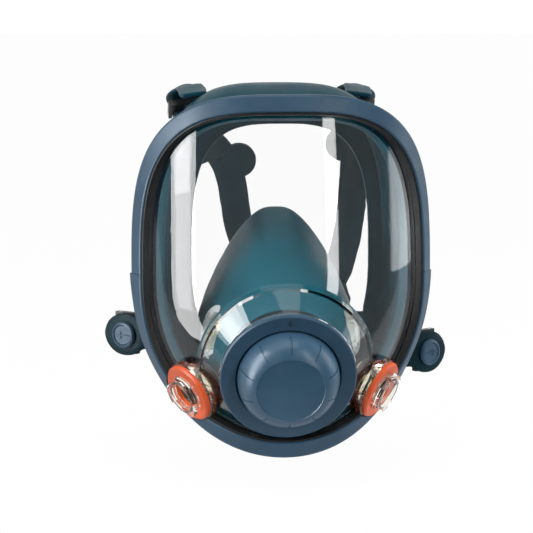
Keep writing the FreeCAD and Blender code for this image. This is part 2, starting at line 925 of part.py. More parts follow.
speech_floor = -size("plate_depth") - size("diaphragm_height") - size("speech_ring_height")
diaphragm = new_body("speech_diaphragm", on_unit(size("port_offset"), speech_floor))
revolve(
    diaphragm,
    [
        ("0", "0"),
        ("speech_seat_radius - seat_clearance", "0"),
        ("speech_seat_radius - seat_clearance", "diaphragm_height"),
        ("0", "diaphragm_height"),
    ],
)
speech_ring = new_body("speech_ring", on_unit(size("port_offset"), speech_floor))
revolve(
    speech_ring,
    [
        ("speech_port_radius - 1", "diaphragm_height"),
        ("speech_seat_radius - seat_clearance", "diaphragm_height"),
        ("speech_seat_radius - seat_clearance", "diaphragm_height + speech_ring_height"),
        ("speech_port_radius - 0.4", "diaphragm_height + speech_ring_height"),
    ],
)
valve_disc(
    "exhale_valve",
    "valve_disc_radius",
    "plate_height",
    on_unit(-size("port_offset"), -size("plate_depth")),
)

cap = new_body("exhale_cap", UNIT)
revolve(
    cap,
    [
        ("tube_bore_radius - cap_running_gap", "-ring_recess_depth - cap_spigot_length"),
        ("tube_bore_radius - cap_running_gap", "-ring_recess_depth + cap_running_gap"),
        ("cap_radius", "-ring_recess_depth + cap_running_gap"),
        ("cap_radius", "cap_height * 0.12"),
        ("cap_radius - 0.9", "cap_height * 0.34"),
        ("cap_radius - 3", "cap_height * 0.62"),
        ("cap_face_radius + 2.6", "cap_height * 0.86"),
        ("cap_face_radius", "cap_height - 0.4"),
        ("cap_face_radius - 2", "cap_height"),
        ("0", "cap_height"),
        ("0", "cap_height - cap_wall"),
        ("cap_face_radius - 2", "cap_height - cap_wall"),
        ("cap_face_radius + 1", "cap_height * 0.86 - cap_wall"),
        ("cap_radius - 5.2", "cap_height * 0.62 - cap_wall"),
        ("tube_bore_radius - cap_running_gap - cap_wall", "cap_height * 0.12"),
        ("tube_bore_radius - cap_running_gap - cap_wall", "-ring_recess_depth - cap_spigot_length"),
    ],
)
slot = pocket(
    cap,
    [
        ("-cap_notch_width / 2", "cap_face_radius + 2.4"),
        ("cap_notch_width / 2", "cap_face_radius + 2.4"),
        ("cap_notch_width / 2", "cap_radius + 1"),
        ("-cap_notch_width / 2", "cap_radius + 1"),
    ],
    "cap_height * 0.2",
    "cap_height",
)
polar(cap, slot, "cap_notches")

# ---------------------------------------------------------------------------------------------
# inlet ports: clear collar on the visor, bayonet fitting, gasket, backing ring and valve

edge_keep = gasket_inner - 1.0
edge_zone = window_ring([(edge_keep, -18, 0), (edge_keep, 6, 0), (9, 6, 0), (9, -18, 0)])
for name, side in SIDES.items():
    place = inlet_place(side)
    collar_solid = collar(place, 0)
    feature(f"{name}_inlet_collar", largest_solid(collar_solid.cut(skin_front).cut(boss_solid(0))))
    backing = turned_solid(
        [
            (size("inlet_tube_radius") + 0.05, -size("backing_depth")),
            (size("inlet_nut_radius"), -size("backing_depth")),
            (size("inlet_nut_radius"), 0),
            (size("inlet_tube_radius") + 0.05, 0),
        ],
        place,
    )
    backing = backing.common(behind_skin(size("visor_wall") + 0.05)).cut(edge_zone)
    feature(f"{name}_inlet_backing_ring", largest_solid(backing))

    gasket_ring = new_body(f"{name}_inlet_gasket", place)
    revolve(
        gasket_ring,
        [
            ("inlet_tube_radius + seat_clearance", "0"),
            ("inlet_gasket_radius", "0"),
            ("inlet_gasket_radius", "inlet_gasket_height * 0.6"),
            ("inlet_gasket_radius - 1", "inlet_gasket_height"),
            ("inlet_tube_radius + seat_clearance", "inlet_gasket_height"),
        ],
    )

    fitting = new_body(f"{name}_inlet_fitting", place)
    revolve(
        fitting,
        [
            ("0", "-backing_depth - inlet_end"),
            ("inlet_tube_radius", "-backing_depth - inlet_end"),
            ("inlet_tube_radius", "inlet_gasket_height"),
            ("inlet_tube_radius + 2", "inlet_gasket_height"),
            ("inlet_tube_radius + 2", "inlet_gasket_height + 0.8"),
            ("inlet_tube_radius", "inlet_gasket_height + 0.8"),
            ("inlet_tube_radius", "inlet_stand - inlet_lug_height"),
            ("inlet_lug_radius", "inlet_stand - inlet_lug_height"),
            ("inlet_lug_radius", "inlet_stand - 0.6"),
            ("inlet_lug_radius - 0.6", "inlet_stand"),
            ("inlet_bore_radius", "inlet_stand"),
            ("inlet_bore_radius", "-backing_depth + inlet_stop"),
            ("inlet_bore_radius - inlet_shoulder", "-backing_depth + inlet_stop"),
            ("inlet_bore_radius - inlet_shoulder", "-backing_depth - inlet_end + inlet_web"),
            ("0", "-backing_depth - inlet_end + inlet_web"),
        ],
    )
    gap_turn = "(180 / inlet_lugs - inlet_lug_angle / 2)"
    lug_gap = pocket(
        fitting,
        [
            (f"(inlet_tube_radius + 0.7) * cos{gap_turn}", f"-(inlet_tube_radius + 0.7) * sin{gap_turn}"),
            (f"(inlet_lug_radius + 6) * cos{gap_turn}", f"-(inlet_lug_radius + 6) * sin{gap_turn}"),
            (f"(inlet_lug_radius + 6) * cos{gap_turn}", f"(inlet_lug_radius + 6) * sin{gap_turn}"),
            (f"(inlet_tube_radius + 0.7) * cos{gap_turn}", f"(inlet_tube_radius + 0.7) * sin{gap_turn}"),
            ("inlet_tube_radius + 0.7", "0"),
        ],
        "inlet_stand - inlet_lug_height - 0.5",
        "inlet_lug_height + 2",
    )
    polar(fitting, lug_gap, "inlet_lugs")
    pocket(fitting, [], "-backing_depth - 4", "8", [("0", "0", "valve_stem_radius + 0.1")])
    spider(fitting, "(inlet_bore_radius - inlet_shoulder - 0.6)", "0", "-backing_depth - 4", "8")

    tail = -size("backing_depth") - size("inlet_end")
    inward = Placement(Vector(0, 0, tail), Rotation(Vector(1, 0, 0), 180))
    valve_disc(f"{name}_inlet_valve", "inlet_bore_radius + 0.7", "inlet_web", place.multiply(inward))

# ---------------------------------------------------------------------------------------------
# nose cup with its two inhalation valves

CUP_POINTS = 40


def cup_rim_point(angle, inset, y):
    """Point of the nose cup's rim outline: a narrow peak over the nose and a round chin."""
    half_width = size("cup_half_width") - inset
    wide = size("cup_wide_z")
    sine = math.sin(angle)
    if sine > 0:
        x = half_width * (1 - sine ** size("cup_peak_power")) ** size("cup_side_power")
        z = wide + (size("cup_peak") - 1.8 * inset - wide) * sine
    else:
        x = half_width * math.sqrt(max(1 - sine * sine, 0))
        z = wide + (size("cup_bottom") - inset + wide) * sine
    return Vector(math.copysign(x, math.cos(angle)), y, z)


def cup_section(share, inset, y_shift=0.0):
    """Closed outline round the cup, share 0 at its collar on the housing and 1 at its rim."""
    points = []
    for i in range(CUP_POINTS):
        angle = 2 * math.pi * (i + 0.5) / CUP_POINTS
        radius = size("cup_collar_radius") - inset
        local = Vector(radius * math.cos(angle), radius * math.sin(angle), -size("cup_collar_depth"))
        start = UNIT.multVec(local)
        end = cup_rim_point(angle, inset, size("cup_rim_y") + y_shift)
        swell = size("cup_swell") * math.sin(math.pi * share)
        out = Vector(math.cos(angle), 0, math.sin(angle)) * swell
        points.append(start + (end - start) * share + out)
    return Part.makePolygon(points + points[:1])


def cup_solid(inset, overrun):
    """Solid inside the cup's outer skin, set in by inset and run past the rim by overrun."""
    shares = (0.0, 0.3, 0.65, 1.0)
    wires = [cup_section(share, inset) for share in shares]
    if overrun:
        wires.append(cup_section(1.0, inset, overrun))
    return Part.makeLoft(wires, True)


cup_shell = cup_solid(0, 0)
cup_core = cup_solid(size("cup_wall"), 6)
collar_low = -size("cup_collar_depth") - 2
collar_high = -size("cup_collar_depth") + size("cup_collar_length")
nose_cup = cup_shell.fuse(cylinder(size("cup_collar_radius"), collar_low, collar_high, UNIT))
for side in SIDES.values():
    place = cup_valve_place(side)
    boss = cylinder(size("cup_seat_radius") + 1.5, -size("cup_seat_height") + 1, 0, place)
    nose_cup = nose_cup.fuse(boss)
    cup_core = cup_core.cut(boss)
    nose_cup = nose_cup.cut(cylinder(size("cup_seat_radius") + 0.2, 0, 15, place))
nose_cup = nose_cup.cut(cup_core)
nose_cup = nose_cup.cut(cylinder(size("tube_outer_radius") + 0.05, collar_low - 1, 0, UNIT))
for side in SIDES.values():
    hole = size("cup_seat_port") + size("cup_seat_wall") + 0.1
    nose_cup = nose_cup.cut(cylinder(hole, -20, 5, cup_valve_place(side)))
feature("nose_cup", largest_solid(nose_cup))

for name, side in SIDES.items():
    place = cup_valve_place(side)
    seat = new_body(f"{name}_cup_valve_seat", place)
    revolve(
        seat,
        [
            ("0", "-cup_seat_height"),
            ("cup_seat_port + cup_seat_wall", "-cup_seat_height"),
            ("cup_seat_port + cup_seat_wall", "0.05"),
            ("cup_seat_radius", "0.05"),
            ("cup_seat_radius", "1.8"),
            ("cup_seat_radius - 1.2", "2.6"),
            ("cup_seat_port + 1", "2.6"),
            ("cup_seat_port", "1.6"),
            ("cup_seat_port", "-cup_seat_height + inlet_web"),
            ("0", "-cup_seat_height + inlet_web"),
        ],
    )
    pocket(seat, [], "-cup_seat_height - 1", "8", [("0", "0", "valve_stem_radius + 0.1")])
    spider(seat, "(cup_seat_port - 0.6)", "0", "-cup_seat_height - 1", "8")
    inward = Placement(Vector(0, 0, -size("cup_seat_height")), Rotation(Vector(1, 0, 0), 180))
    valve_disc(f"{name}_cup_valve", "cup_seat_port + 0.8", "inlet_web", place.multiply(inward))

# ---------------------------------------------------------------------------------------------
# face seal: bead in the frame, skirt, rolled rim, inturned flap and four ears


def seal_point(angle, inset, y, side_inset=0.0):
    """Point on the seal's outer oval, set in by inset, at depth y."""
    x, z = oval_point(
        angle,
        size("seal_half_width") - inset - side_inset,
        size("seal_top") - inset,
        size("seal_bottom") - inset,
    )
    return Vector(x, y, z)


def opening_point(angle, inset, y):
    """Point on the edge of the face opening, let out by inset, at depth y."""
    x, z = oval_point(
        angle,
        size("opening_half_width") + inset,
        size("opening_top") + inset,
        size("opening_bottom") + inset,
    )
    return Vector(x, y, z)


def seal_section(angle):
    """Section of the face seal at an angle of the window line."""
    origin, outward, normal = window_axes(angle)
    wall = size("seal_wall")
    bead_front = -size("gasket_rear") - gap
    bead_rear = flange_wall_rear + gap
    exit_outer = -size("band_inner") + 0.8
    rear = size("seal_rim_y")
    shoulder = size("seal_shoulder_y")

    def at(a, b):
        return origin + outward * a + normal * b

    outer = [
        at(exit_outer, -size("frame_rear") - 0.6),
        seal_point(angle, 1.0, shoulder - 26),
        seal_point(angle, 0, shoulder),
        seal_point(angle, 1.6, rear - 5),
        seal_point(angle, 6.5, rear),
        opening_point(angle, 10, rear - 1.4),
        opening_point(angle, 0, size("opening_y")),
    ]
    inner = [
        opening_point(angle, 0.4, size("opening_y") - wall * 0.6),
        opening_point(angle, 10, rear - 1.4 - wall),
        seal_point(angle, 7, rear - wall),
        seal_point(angle, 1.6 + wall, rear - 5 - wall * 0.5),
        seal_point(angle, wall, shoulder),
        seal_point(angle, 1.0 + wall, shoulder - 26),
        at(exit_outer - wall, -size("frame_rear") - 0.6),
    ]
    bead = [
        at(exit_outer - wall, bead_front),
        at(channel_floor - gap, bead_front),
        at(channel_floor - gap, bead_rear),
        at(exit_outer, bead_rear),
    ]
    points = outer + inner + bead
    return Part.makePolygon(points + points[:1])


def ribbon(points, across, width, thickness):
    """Flat band that follows a spline; across is the direction of its width."""
    stations = [0.0]
    for before, after in zip(points, points[1:]):
        stations.append(stations[-1] + math.sqrt(before.distanceToPoint(after)))
    curve = Part.BSplineCurve()
    curve.interpolate(Points=points, Parameters=stations)
    halfway = [(before + after) / 2 for before, after in zip(stations, stations[1:])]
    wires = []
    for u in sorted(stations + halfway):
        centre = curve.value(u)
        along = curve.tangent(u)[0]
        side_way = (across - along * across.dot(along)).normalize() * (width / 2)
        lift = along.cross(side_way).normalize() * (thickness / 2)
        corners = [
            centre + side_way + lift,
            centre - side_way + lift,
            centre - side_way - lift,
            centre + side_way - lift,
        ]
        wires.append(Part.makePolygon(corners + corners[:1]))
    return Part.makeLoft(wires, True, True)


def anchor_place(name):
    """Placement of a strap anchor: local Z out of the ear, local Y along the run of the strap."""
    level, side_name = name.split("_")
    side = SIDES[side_name]
    if level == "lower":
        yaw = math.radians(size("ear_yaw"))
        out = Vector(side * math.sin(yaw), -math.cos(yaw), 0)
        run = Vector(side * math.cos(yaw), math.sin(yaw), 0)
        base = Vector(side * size("ear_x"), size("ear_y"), size("ear_z") - side * size("ear_sag"))
    else:
        fall = math.radians(size("top_ear_fall"))
        roll = math.radians(size("top_ear_roll"))
        run = Vector(0, math.cos(fall), -math.sin(fall))
        width_way = Vector(math.cos(roll), 0, -side * math.sin(roll))
        out = width_way.cross(run).normalize()
        base = Vector(side * size("top_ear_x"), size("top_ear_y"), size("top_ear_z"))
    return Placement(base, Rotation(run.cross(out), run, out, "YZX"))


ANCHORS = ("upper_left", "upper_right", "lower_left", "lower_right")


def seal_half_width_at(height):
    """Half width of the seal's outer oval at a height."""
    limit = size("seal_top") if height >= 0 else size("seal_bottom")
    power = size("brow_power") if height >= 0 else size("chin_power")
    return size("seal_half_width") * (1 - abs(height / limit) ** power) ** (1 / power)


def seal_height_at(x):
    """Height of the seal's outer oval above a place across the brow."""
    power = size("brow_power")
    return size("seal_top") * (1 - abs(x / size("seal_half_width")) ** power) ** (1 / power)


def ear(name):
    """Rubber tab that grows out of the seal's skirt and carries a stud near its round end."""
    place = anchor_place(name)
    side = SIDES[name.split("_")[1]]
    radius = size("ear_radius")
    centre = place.Base
    run = place.Rotation.multVec(Vector(0, 1, 0))
    width_way = place.Rotation.multVec(Vector(1, 0, 0))
    tip = centre + run * (radius + 3)
    if name.startswith("upper"):
        tip.z -= 1.5
    if name.startswith("lower"):
        skirt = seal_half_width_at(centre.z)
        root = Vector(side * (skirt - 6), centre.y - 4, centre.z)
        middle = Vector(side * (skirt + centre.x * side) / 2, centre.y - 6.5, centre.z)
    else:
        skirt = seal_height_at(centre.x)
        root = Vector(centre.x - side * 3, -26, skirt - 4)
        middle = Vector(centre.x - side, 1, size("top_ear_crest"))
    band = ribbon([root, middle, centre, tip], width_way, 2 * radius, size("ear_wall"))
    leaf = cylinder(radius, -25, 25, place)
    block = Part.makeBox(2 * radius, 60, 50, Vector(-radius, -60, -25))
    block.Placement = place
    leaf = leaf.fuse(block)
    return band.common(leaf).cut(cylinder(size("stud_shank_radius") + 0.05, -9, 9, place))


flange_wall_rear = -size("frame_rear") + size("flange_wall")
seal_angles = window_angles(-math.pi / 2, math.pi / 2, 24)
seal_half = Part.makeLoft([seal_section(angle) for angle in seal_angles], True)
face_seal = seal_half.fuse(mirrored(seal_half))
for name in ANCHORS:
    place = anchor_place(name)
    face_seal = face_seal.fuse(ear(name))
    face_seal = face_seal.cut(cylinder(size("stud_radius") + 0.4, size("ear_wall") / 2 - 0.06, 12, place))
    shoulder = cylinder(size("stud_shank_radius") + 1.6, -12, -size("ear_wall") / 2 + 0.06, place)
    face_seal = face_seal.cut(shoulder)
for side in SIDES.values():
    face_seal = face_seal.cut(cylinder(size("inlet_tube_radius") + 0.8, -30, 0, inlet_place(side)))

# the seal is one moulding; it is kept in eight sectors that meet face to face, so that each is a
# simple open form: brow, temples, cheeks, jaws and chin
far = 400


def box_between(low, high):
    """Box between two opposite corners."""
    return Part.makeBox(high.x - low.x, high.y - low.y, high.z - low.z, low)


def sector(label, low_x, high_x, low_z, high_z):
    """Piece of the seal between two widths and two heights."""
    box = box_between(Vector(low_x, -far, low_z), Vector(high_x, far, high_z))
    feature(label, largest_solid(face_seal.common(box)))


brow_side = size("brow_sector_side")
chin_side = size("chin_sector_side")
brow_low = size("sector_brow")
jaw_high = -size("sector_jaw")
sector("face_seal_brow", -brow_side, brow_side, brow_low, far)
sector("face_seal_chin", -chin_side, chin_side, -far, jaw_high)
for name, side in SIDES.items():
    sector(f"face_seal_{name}_temple", *sorted((side * brow_side, side * far)), brow_low, far)
    sector(f"face_seal_{name}_cheek", *sorted((0, side * far)), jaw_high, brow_low)
    sector(f"face_seal_{name}_jaw", *sorted((side * chin_side, side * far)), -far, jaw_high)

# ---------------------------------------------------------------------------------------------
# studs, buckles, rollers, straps and crown pad

for name in ANCHORS:
    place = anchor_place(name)
    stud = new_body(f"{name}_stud", place)
    back = "-buckle_drop - buckle_height / 2"
    revolve(
        stud,
        [
            ("0", f"{back} - 0.6"),
            ("stud_shank_radius + 0.8", f"{back} - 0.6"),
            ("stud_shank_radius + 0.8", f"{back} - 0.05"),
            ("stud_shank_radius", f"{back} - 0.05"),
            ("stud_shank_radius", "-buckle_drop + buckle_height / 2 + 0.05"),
            ("stud_shank_radius + 1.2", "-buckle_drop + buckle_height / 2 + 0.05"),
            ("stud_shank_radius + 1.2", "-ear_wall / 2 - 0.1"),
            ("stud_shank_radius", "-ear_wall / 2 - 0.1"),
            ("stud_shank_radius", "ear_wall / 2 + 0.1"),
            ("stud_radius", "ear_wall / 2 + 0.1"),
            ("stud_radius", "ear_wall / 2 + stud_height * 0.5"),
            ("stud_radius - 0.8", "ear_wall / 2 + stud_height * 0.9"),
            ("stud_radius - 1.8", "ear_wall / 2 + stud_height"),
            ("stud_radius - 2.4", "ear_wall / 2 + stud_height * 0.7"),
            ("0", "ear_wall / 2 + stud_height * 0.7"),
        ],
    )

    buckle = new_body(f"{name}_buckle", place)
    inner = "(strap_width / 2 + 0.4)"
    outer = f"({inner} + buckle_cheek)"
    tongue_end = "(roller_offset - roller_radius - strap_clearance - strap_height - 0.4)"
    tip = "(roller_offset + roller_pin_radius + 1.4)"
    pad(
        buckle,
        [
            (f"-{outer}", f"{tongue_end} - buckle_tongue"),
            (outer, f"{tongue_end} - buckle_tongue"),
            (outer, tip),
            (inner, tip),
            (inner, tongue_end),
            (f"-{inner}", tongue_end),
            (f"-{inner}", tip),
            (f"-{outer}", tip),
        ],
        "-buckle_drop - buckle_height / 2",
        "buckle_height",
    )
    pocket(buckle, [], "-buckle_drop - 9", "18", [("0", "0", "stud_shank_radius + 0.05")])
    doc.recompute()
    pin_hole = new_sketch(buckle, "pin_hole", "YZ_Plane")
    draw_circle(pin_hole, "roller_offset", "-buckle_drop", "roller_pin_radius + pin_clearance")
    drilled = buckle.newObject("PartDesign::Pocket", "drilled")
    drilled.Profile = pin_hole
    drilled.Midplane = True
    drilled.Length = 60

    roller = new_body(f"{name}_roller", place.multiply(Placement(
        Vector(0, size("roller_offset"), -size("buckle_drop")), Rotation(Vector(0, 1, 0), 90))))
    barrel = "(strap_width / 2 + 0.1)"
    pin_end = "(strap_width / 2 + 0.4 + buckle_cheek)"
    revolve(
        roller,
        [
            ("0", f"-{pin_end}"),
            ("roller_pin_radius", f"-{pin_end}"),
            ("roller_pin_radius", f"-{barrel}"),
            ("roller_radius", f"-{barrel}"),
            ("roller_radius", barrel),
            ("roller_pin_radius", barrel),
            ("roller_pin_radius", pin_end),
            ("0", pin_end),
        ],
    )


def strap_points(name):
    """Centre line of a strap: hanging tail, turn round the roller, then the run to the crown pad."""
    place = anchor_place(name)
    side = SIDES[name.split("_")[1]]
    sway = size("harness_sway")
    pad_y = size("pad_y")
    pad_z = size("pad_z")
    turn = size("roller_radius") + size("strap_clearance") + size("strap_height") / 2
    axis_y = size("roller_offset")
    axis_z = -size("buckle_drop")
    loop = [Vector(0, axis_y - turn, axis_z - 5)]
    for degrees in (180, 135, 90, 45, 0):
        turned = math.radians(degrees)
        loop.append(Vector(0, axis_y + turn * math.cos(turned), axis_z + turn * math.sin(turned)))
    loop.append(Vector(0, axis_y + turn, axis_z - 4))
    loop = [place.multVec(point) for point in loop]
    base = place.Base
    if name.startswith("upper"):
        tail = [Vector(base.x - side * 3, 10, 68), Vector(base.x - side * 1, 11, 84)]
        run = [
            Vector(base.x - side * 3 + sway * 0.1, 36, 86),
            Vector(side * 45 + sway * 0.5, 57, 56),
            Vector(side * 38 + sway * 0.85, pad_y - 3.5, 18),
            Vector(side * 30 + sway, pad_y - 4.2, pad_z + size("pad_height") / 2 + 2.6),
        ]
    else:
        tail = [Vector(side * 88, 12, base.z), Vector(side * 90, -4, base.z)]
        end_x = side * (size("pad_width") / 2 + 3.4) + sway
        run = [
            Vector(side * 103, 0, base.z),
            Vector(side * 96 + sway * 0.3, 30, base.z * 0.5 + pad_z * 0.5),
            Vector(side * 75 + sway * 0.7, 53, pad_z - 4),
            Vector(end_x, pad_y - size("pad_wrap") - 1.6, pad_z - 6),
        ]
    return tail + loop + run


for name in ANCHORS:
    across = anchor_place(name).Rotation.multVec(Vector(1, 0, 0))
    strap = ribbon(strap_points(name), across, size("strap_width"), size("strap_height"))
    feature(f"{name}_strap", strap)

sway = size("harness_sway")
half = size("pad_width") / 2
low_y = size("pad_y") - size("pad_wrap")
pad_line = [
    Vector(sway - half, low_y, size("pad_z")),
    Vector(sway - half / 2, size("pad_y") - size("pad_wrap") / 4, size("pad_z")),
    Vector(sway, size("pad_y"), size("pad_z")),
    Vector(sway + half / 2, size("pad_y") - size("pad_wrap") / 4, size("pad_z")),
    Vector(sway + half, low_y, size("pad_z")),
]
crown_pad = ribbon(pad_line, Vector(0, 0, 1), size("pad_height"), size("pad_wall"))
feature("crown_pad", crown_pad)

# ---------------------------------------------------------------------------------------------
# checks and export

doc.recompute()
for item in doc.Objects:
    if "Invalid" in item.State or "Error" in item.State:
        raise ValueError(f"{item.Label} failed to build")
pieces = [item for item in doc.Objects if item.TypeId in ("PartDesign::Body", "Part::Feature")]
for piece in pieces:
    if piece.Shape.isNull() or not piece.Shape.isValid():
        raise ValueError(f"{piece.Label} has no valid shape")
    piece.Shape.exportStep(f"parts/{piece.Label}.step")
print(f"{len(pieces)} pieces")
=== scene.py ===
"""Dressed model of a full face respirator: finishes for the moulded parts and detailed soft pieces."""
import json
import logging
import math
from dataclasses import dataclass
from enum import Enum

import bmesh
import bpy
from bmesh.types import BMesh
from bpy.types import Material, NodeSocket, NodeTree
from mathutils import Matrix, Vector


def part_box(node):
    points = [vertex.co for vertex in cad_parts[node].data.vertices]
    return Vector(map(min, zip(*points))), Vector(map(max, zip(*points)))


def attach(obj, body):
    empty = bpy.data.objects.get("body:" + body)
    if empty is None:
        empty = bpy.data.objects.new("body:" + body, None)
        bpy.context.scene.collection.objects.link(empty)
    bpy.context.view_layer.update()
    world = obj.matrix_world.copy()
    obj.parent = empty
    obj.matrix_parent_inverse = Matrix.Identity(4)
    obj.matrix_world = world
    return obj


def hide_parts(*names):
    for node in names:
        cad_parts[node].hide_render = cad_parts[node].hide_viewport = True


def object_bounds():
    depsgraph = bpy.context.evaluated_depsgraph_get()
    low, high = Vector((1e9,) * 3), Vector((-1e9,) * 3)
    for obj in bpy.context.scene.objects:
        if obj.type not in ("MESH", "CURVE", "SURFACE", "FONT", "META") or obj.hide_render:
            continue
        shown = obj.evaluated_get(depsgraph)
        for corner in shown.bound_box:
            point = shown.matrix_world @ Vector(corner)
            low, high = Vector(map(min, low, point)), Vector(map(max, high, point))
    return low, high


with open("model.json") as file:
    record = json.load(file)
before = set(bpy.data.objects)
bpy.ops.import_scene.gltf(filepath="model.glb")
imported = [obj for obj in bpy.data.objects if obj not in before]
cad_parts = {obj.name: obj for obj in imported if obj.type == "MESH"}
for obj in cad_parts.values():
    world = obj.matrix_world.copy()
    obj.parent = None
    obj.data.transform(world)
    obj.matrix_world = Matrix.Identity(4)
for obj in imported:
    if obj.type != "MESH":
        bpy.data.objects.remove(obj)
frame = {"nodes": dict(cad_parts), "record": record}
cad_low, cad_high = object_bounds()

logging.basicConfig(level=logging.INFO, format="%(message)s")
log = logging.getLogger("respirator")

MM = 0.001
ROOT = "mask"

# the detail of the shared shader groups: scales per metre
HANDLED_SCALE = 90.0
SPECK_SCALE = 1400.0
SMEAR_SCALE = 55.0
HAIRLINE_SCALE = 1800.0
SPECK_TONE = (0.75, 0.76, 0.74, 1)

# the valve unit and the nose cup's valves: millimetres from the face plane, angles in degrees
UNIT_ORIGIN = Vector((0, -108.0, -53.8))
UNIT_RISE = -17.0
CUP_VALVE_X = 39.5
CUP_VALVE_Y = -57.0
CUP_VALVE_Z = -34.6
CUP_VALVE_YAW = 65.5
CUP_VALVE_RISE = 10.7


class Side(Enum):
    """Side of the mask as seen from its front."""

    LEFT = -1
    RIGHT = 1


class Level(Enum):
    """Height at which a strap is anchored."""

    UPPER = "upper"
    LOWER = "lower"


# shader groups and finishes


def new_group(name: str, inputs: dict[str, tuple[str, float | tuple]], outputs: dict[str, str]):
    """Start a shader node group.

    Args:
        name: name of the group.
        inputs: socket name to (socket type, default value).
        outputs: socket name to socket type.

    Returns:
        The tree with its input node and its output node.
    """
    tree = bpy.data.node_groups.new(name, "ShaderNodeTree")
    for label, (kind, default) in inputs.items():
        socket = tree.interface.new_socket(label, in_out="INPUT", socket_type=kind)
        socket.default_value = default
    for label, kind in outputs.items():
        tree.interface.new_socket(label, in_out="OUTPUT", socket_type=kind)
    return tree, tree.nodes.new("NodeGroupInput"), tree.nodes.new("NodeGroupOutput")


def link(tree: NodeTree, source: NodeSocket, target: NodeSocket) -> None:
    """Join two sockets."""
    tree.links.new(source, target)


def fill(node: bpy.types.Node, values: dict[str, object]) -> None:
    """Set the constant inputs of a node by their names."""
    for label, value in values.items():
        node.inputs[label].default_value = value


def noise(tree: NodeTree, place: NodeSocket, scale: float | NodeSocket,
          detail: float) -> NodeSocket:
    """Add a noise texture that reads a place.

    Args:
        tree: tree that gets the node.
        place: socket with the point that the noise reads.
        scale: scale, as a number or a socket.
        detail: number of octaves.

    Returns:
        The noise value.
    """
    node = tree.nodes.new("ShaderNodeTexNoise")
    node.inputs["Detail"].default_value = detail
    link(tree, place, node.inputs["Vector"])
    if isinstance(scale, NodeSocket):
        link(tree, scale, node.inputs["Scale"])
    else:
        node.inputs["Scale"].default_value = scale
    return node.outputs["Fac"]


def remap(tree: NodeTree, value: NodeSocket, low: float, high: float,
          to_low: float = 0.0, to_high: float = 1.0) -> NodeSocket:
    """Stretch a value from one range to another, clamped.

    Args:
        tree: tree that gets the node.
        value: value to stretch.
        low: lower end of its range.
        high: upper end of its range.
        to_low: result at low.
        to_high: result at high.

    Returns:
        The stretched value.
    """
    node = tree.nodes.new("ShaderNodeMapRange")
    link(tree, value, node.inputs["Value"])
    fill(node, {"From Min": low, "From Max": high, "To Min": to_low, "To Max": to_high})
    return node.outputs["Result"]


def math_node(tree: NodeTree, operation: str, first: NodeSocket,
              second: NodeSocket | float) -> NodeSocket:
    """Combine two values.

    Args:
        tree: tree that gets the node.
        operation: name of the math operation.
        first: first value.
        second: second value, as a number or a socket.

    Returns:
        The result.
    """
    node = tree.nodes.new("ShaderNodeMath")
    node.operation = operation
    link(tree, first, node.inputs[0])
    if isinstance(second, NodeSocket):
        link(tree, second, node.inputs[1])
    else:
        node.inputs[1].default_value = second
    return node.outputs[0]


def mixed_color(tree: NodeTree, factor: NodeSocket, first: NodeSocket,
                second: NodeSocket) -> NodeSocket:
    """Blend two colours by a factor."""
    node = tree.nodes.new("ShaderNodeMix")
    node.data_type = "RGBA"
    link(tree, factor, node.inputs["Factor"])
    link(tree, first, node.inputs["A"])
    link(tree, second, node.inputs["B"])
    return node.outputs["Result"]


def new_material(name: str) -> tuple[Material, NodeTree]:
    """Start a material that uses nodes, and give it with its node tree."""
    material = bpy.data.materials.new(name)
    material.use_nodes = True
    return material, material.node_tree


def group_node(tree: NodeTree, name: str) -> bpy.types.Node:
    """Add a shared shader group to a tree."""
    node = tree.nodes.new("ShaderNodeGroup")
    node.node_tree = bpy.data.node_groups[name]
    return node


def add_bump(tree: NodeTree, height: NodeSocket, normal: NodeSocket,
             strength: float, distance: float) -> None:
    """Bump a shader's normal.

    Args:
        tree: tree that gets the node.
        height: height that the bump reads.
        normal: the shader's normal socket.
        strength: strength of the bump.
        distance: depth of the bump in metres.
    """
    bump = tree.nodes.new("ShaderNodeBump")
    fill(bump, {"Strength": strength, "Distance": distance})
    link(tree, height, bump.inputs["Height"])
    link(tree, bump.outputs["Normal"], normal)


def show_mixed(tree: NodeTree, factor: NodeSocket, first: NodeSocket,
               second: NodeSocket) -> None:
    """Show the first shader where a factor is 0 and the second where it is 1."""
    pick = tree.nodes.new("ShaderNodeMixShader")
    for source, target in zip((factor, first, second), pick.inputs):
        link(tree, source, target)
    link(tree, pick.outputs[0], tree.nodes["Material Output"].inputs["Surface"])


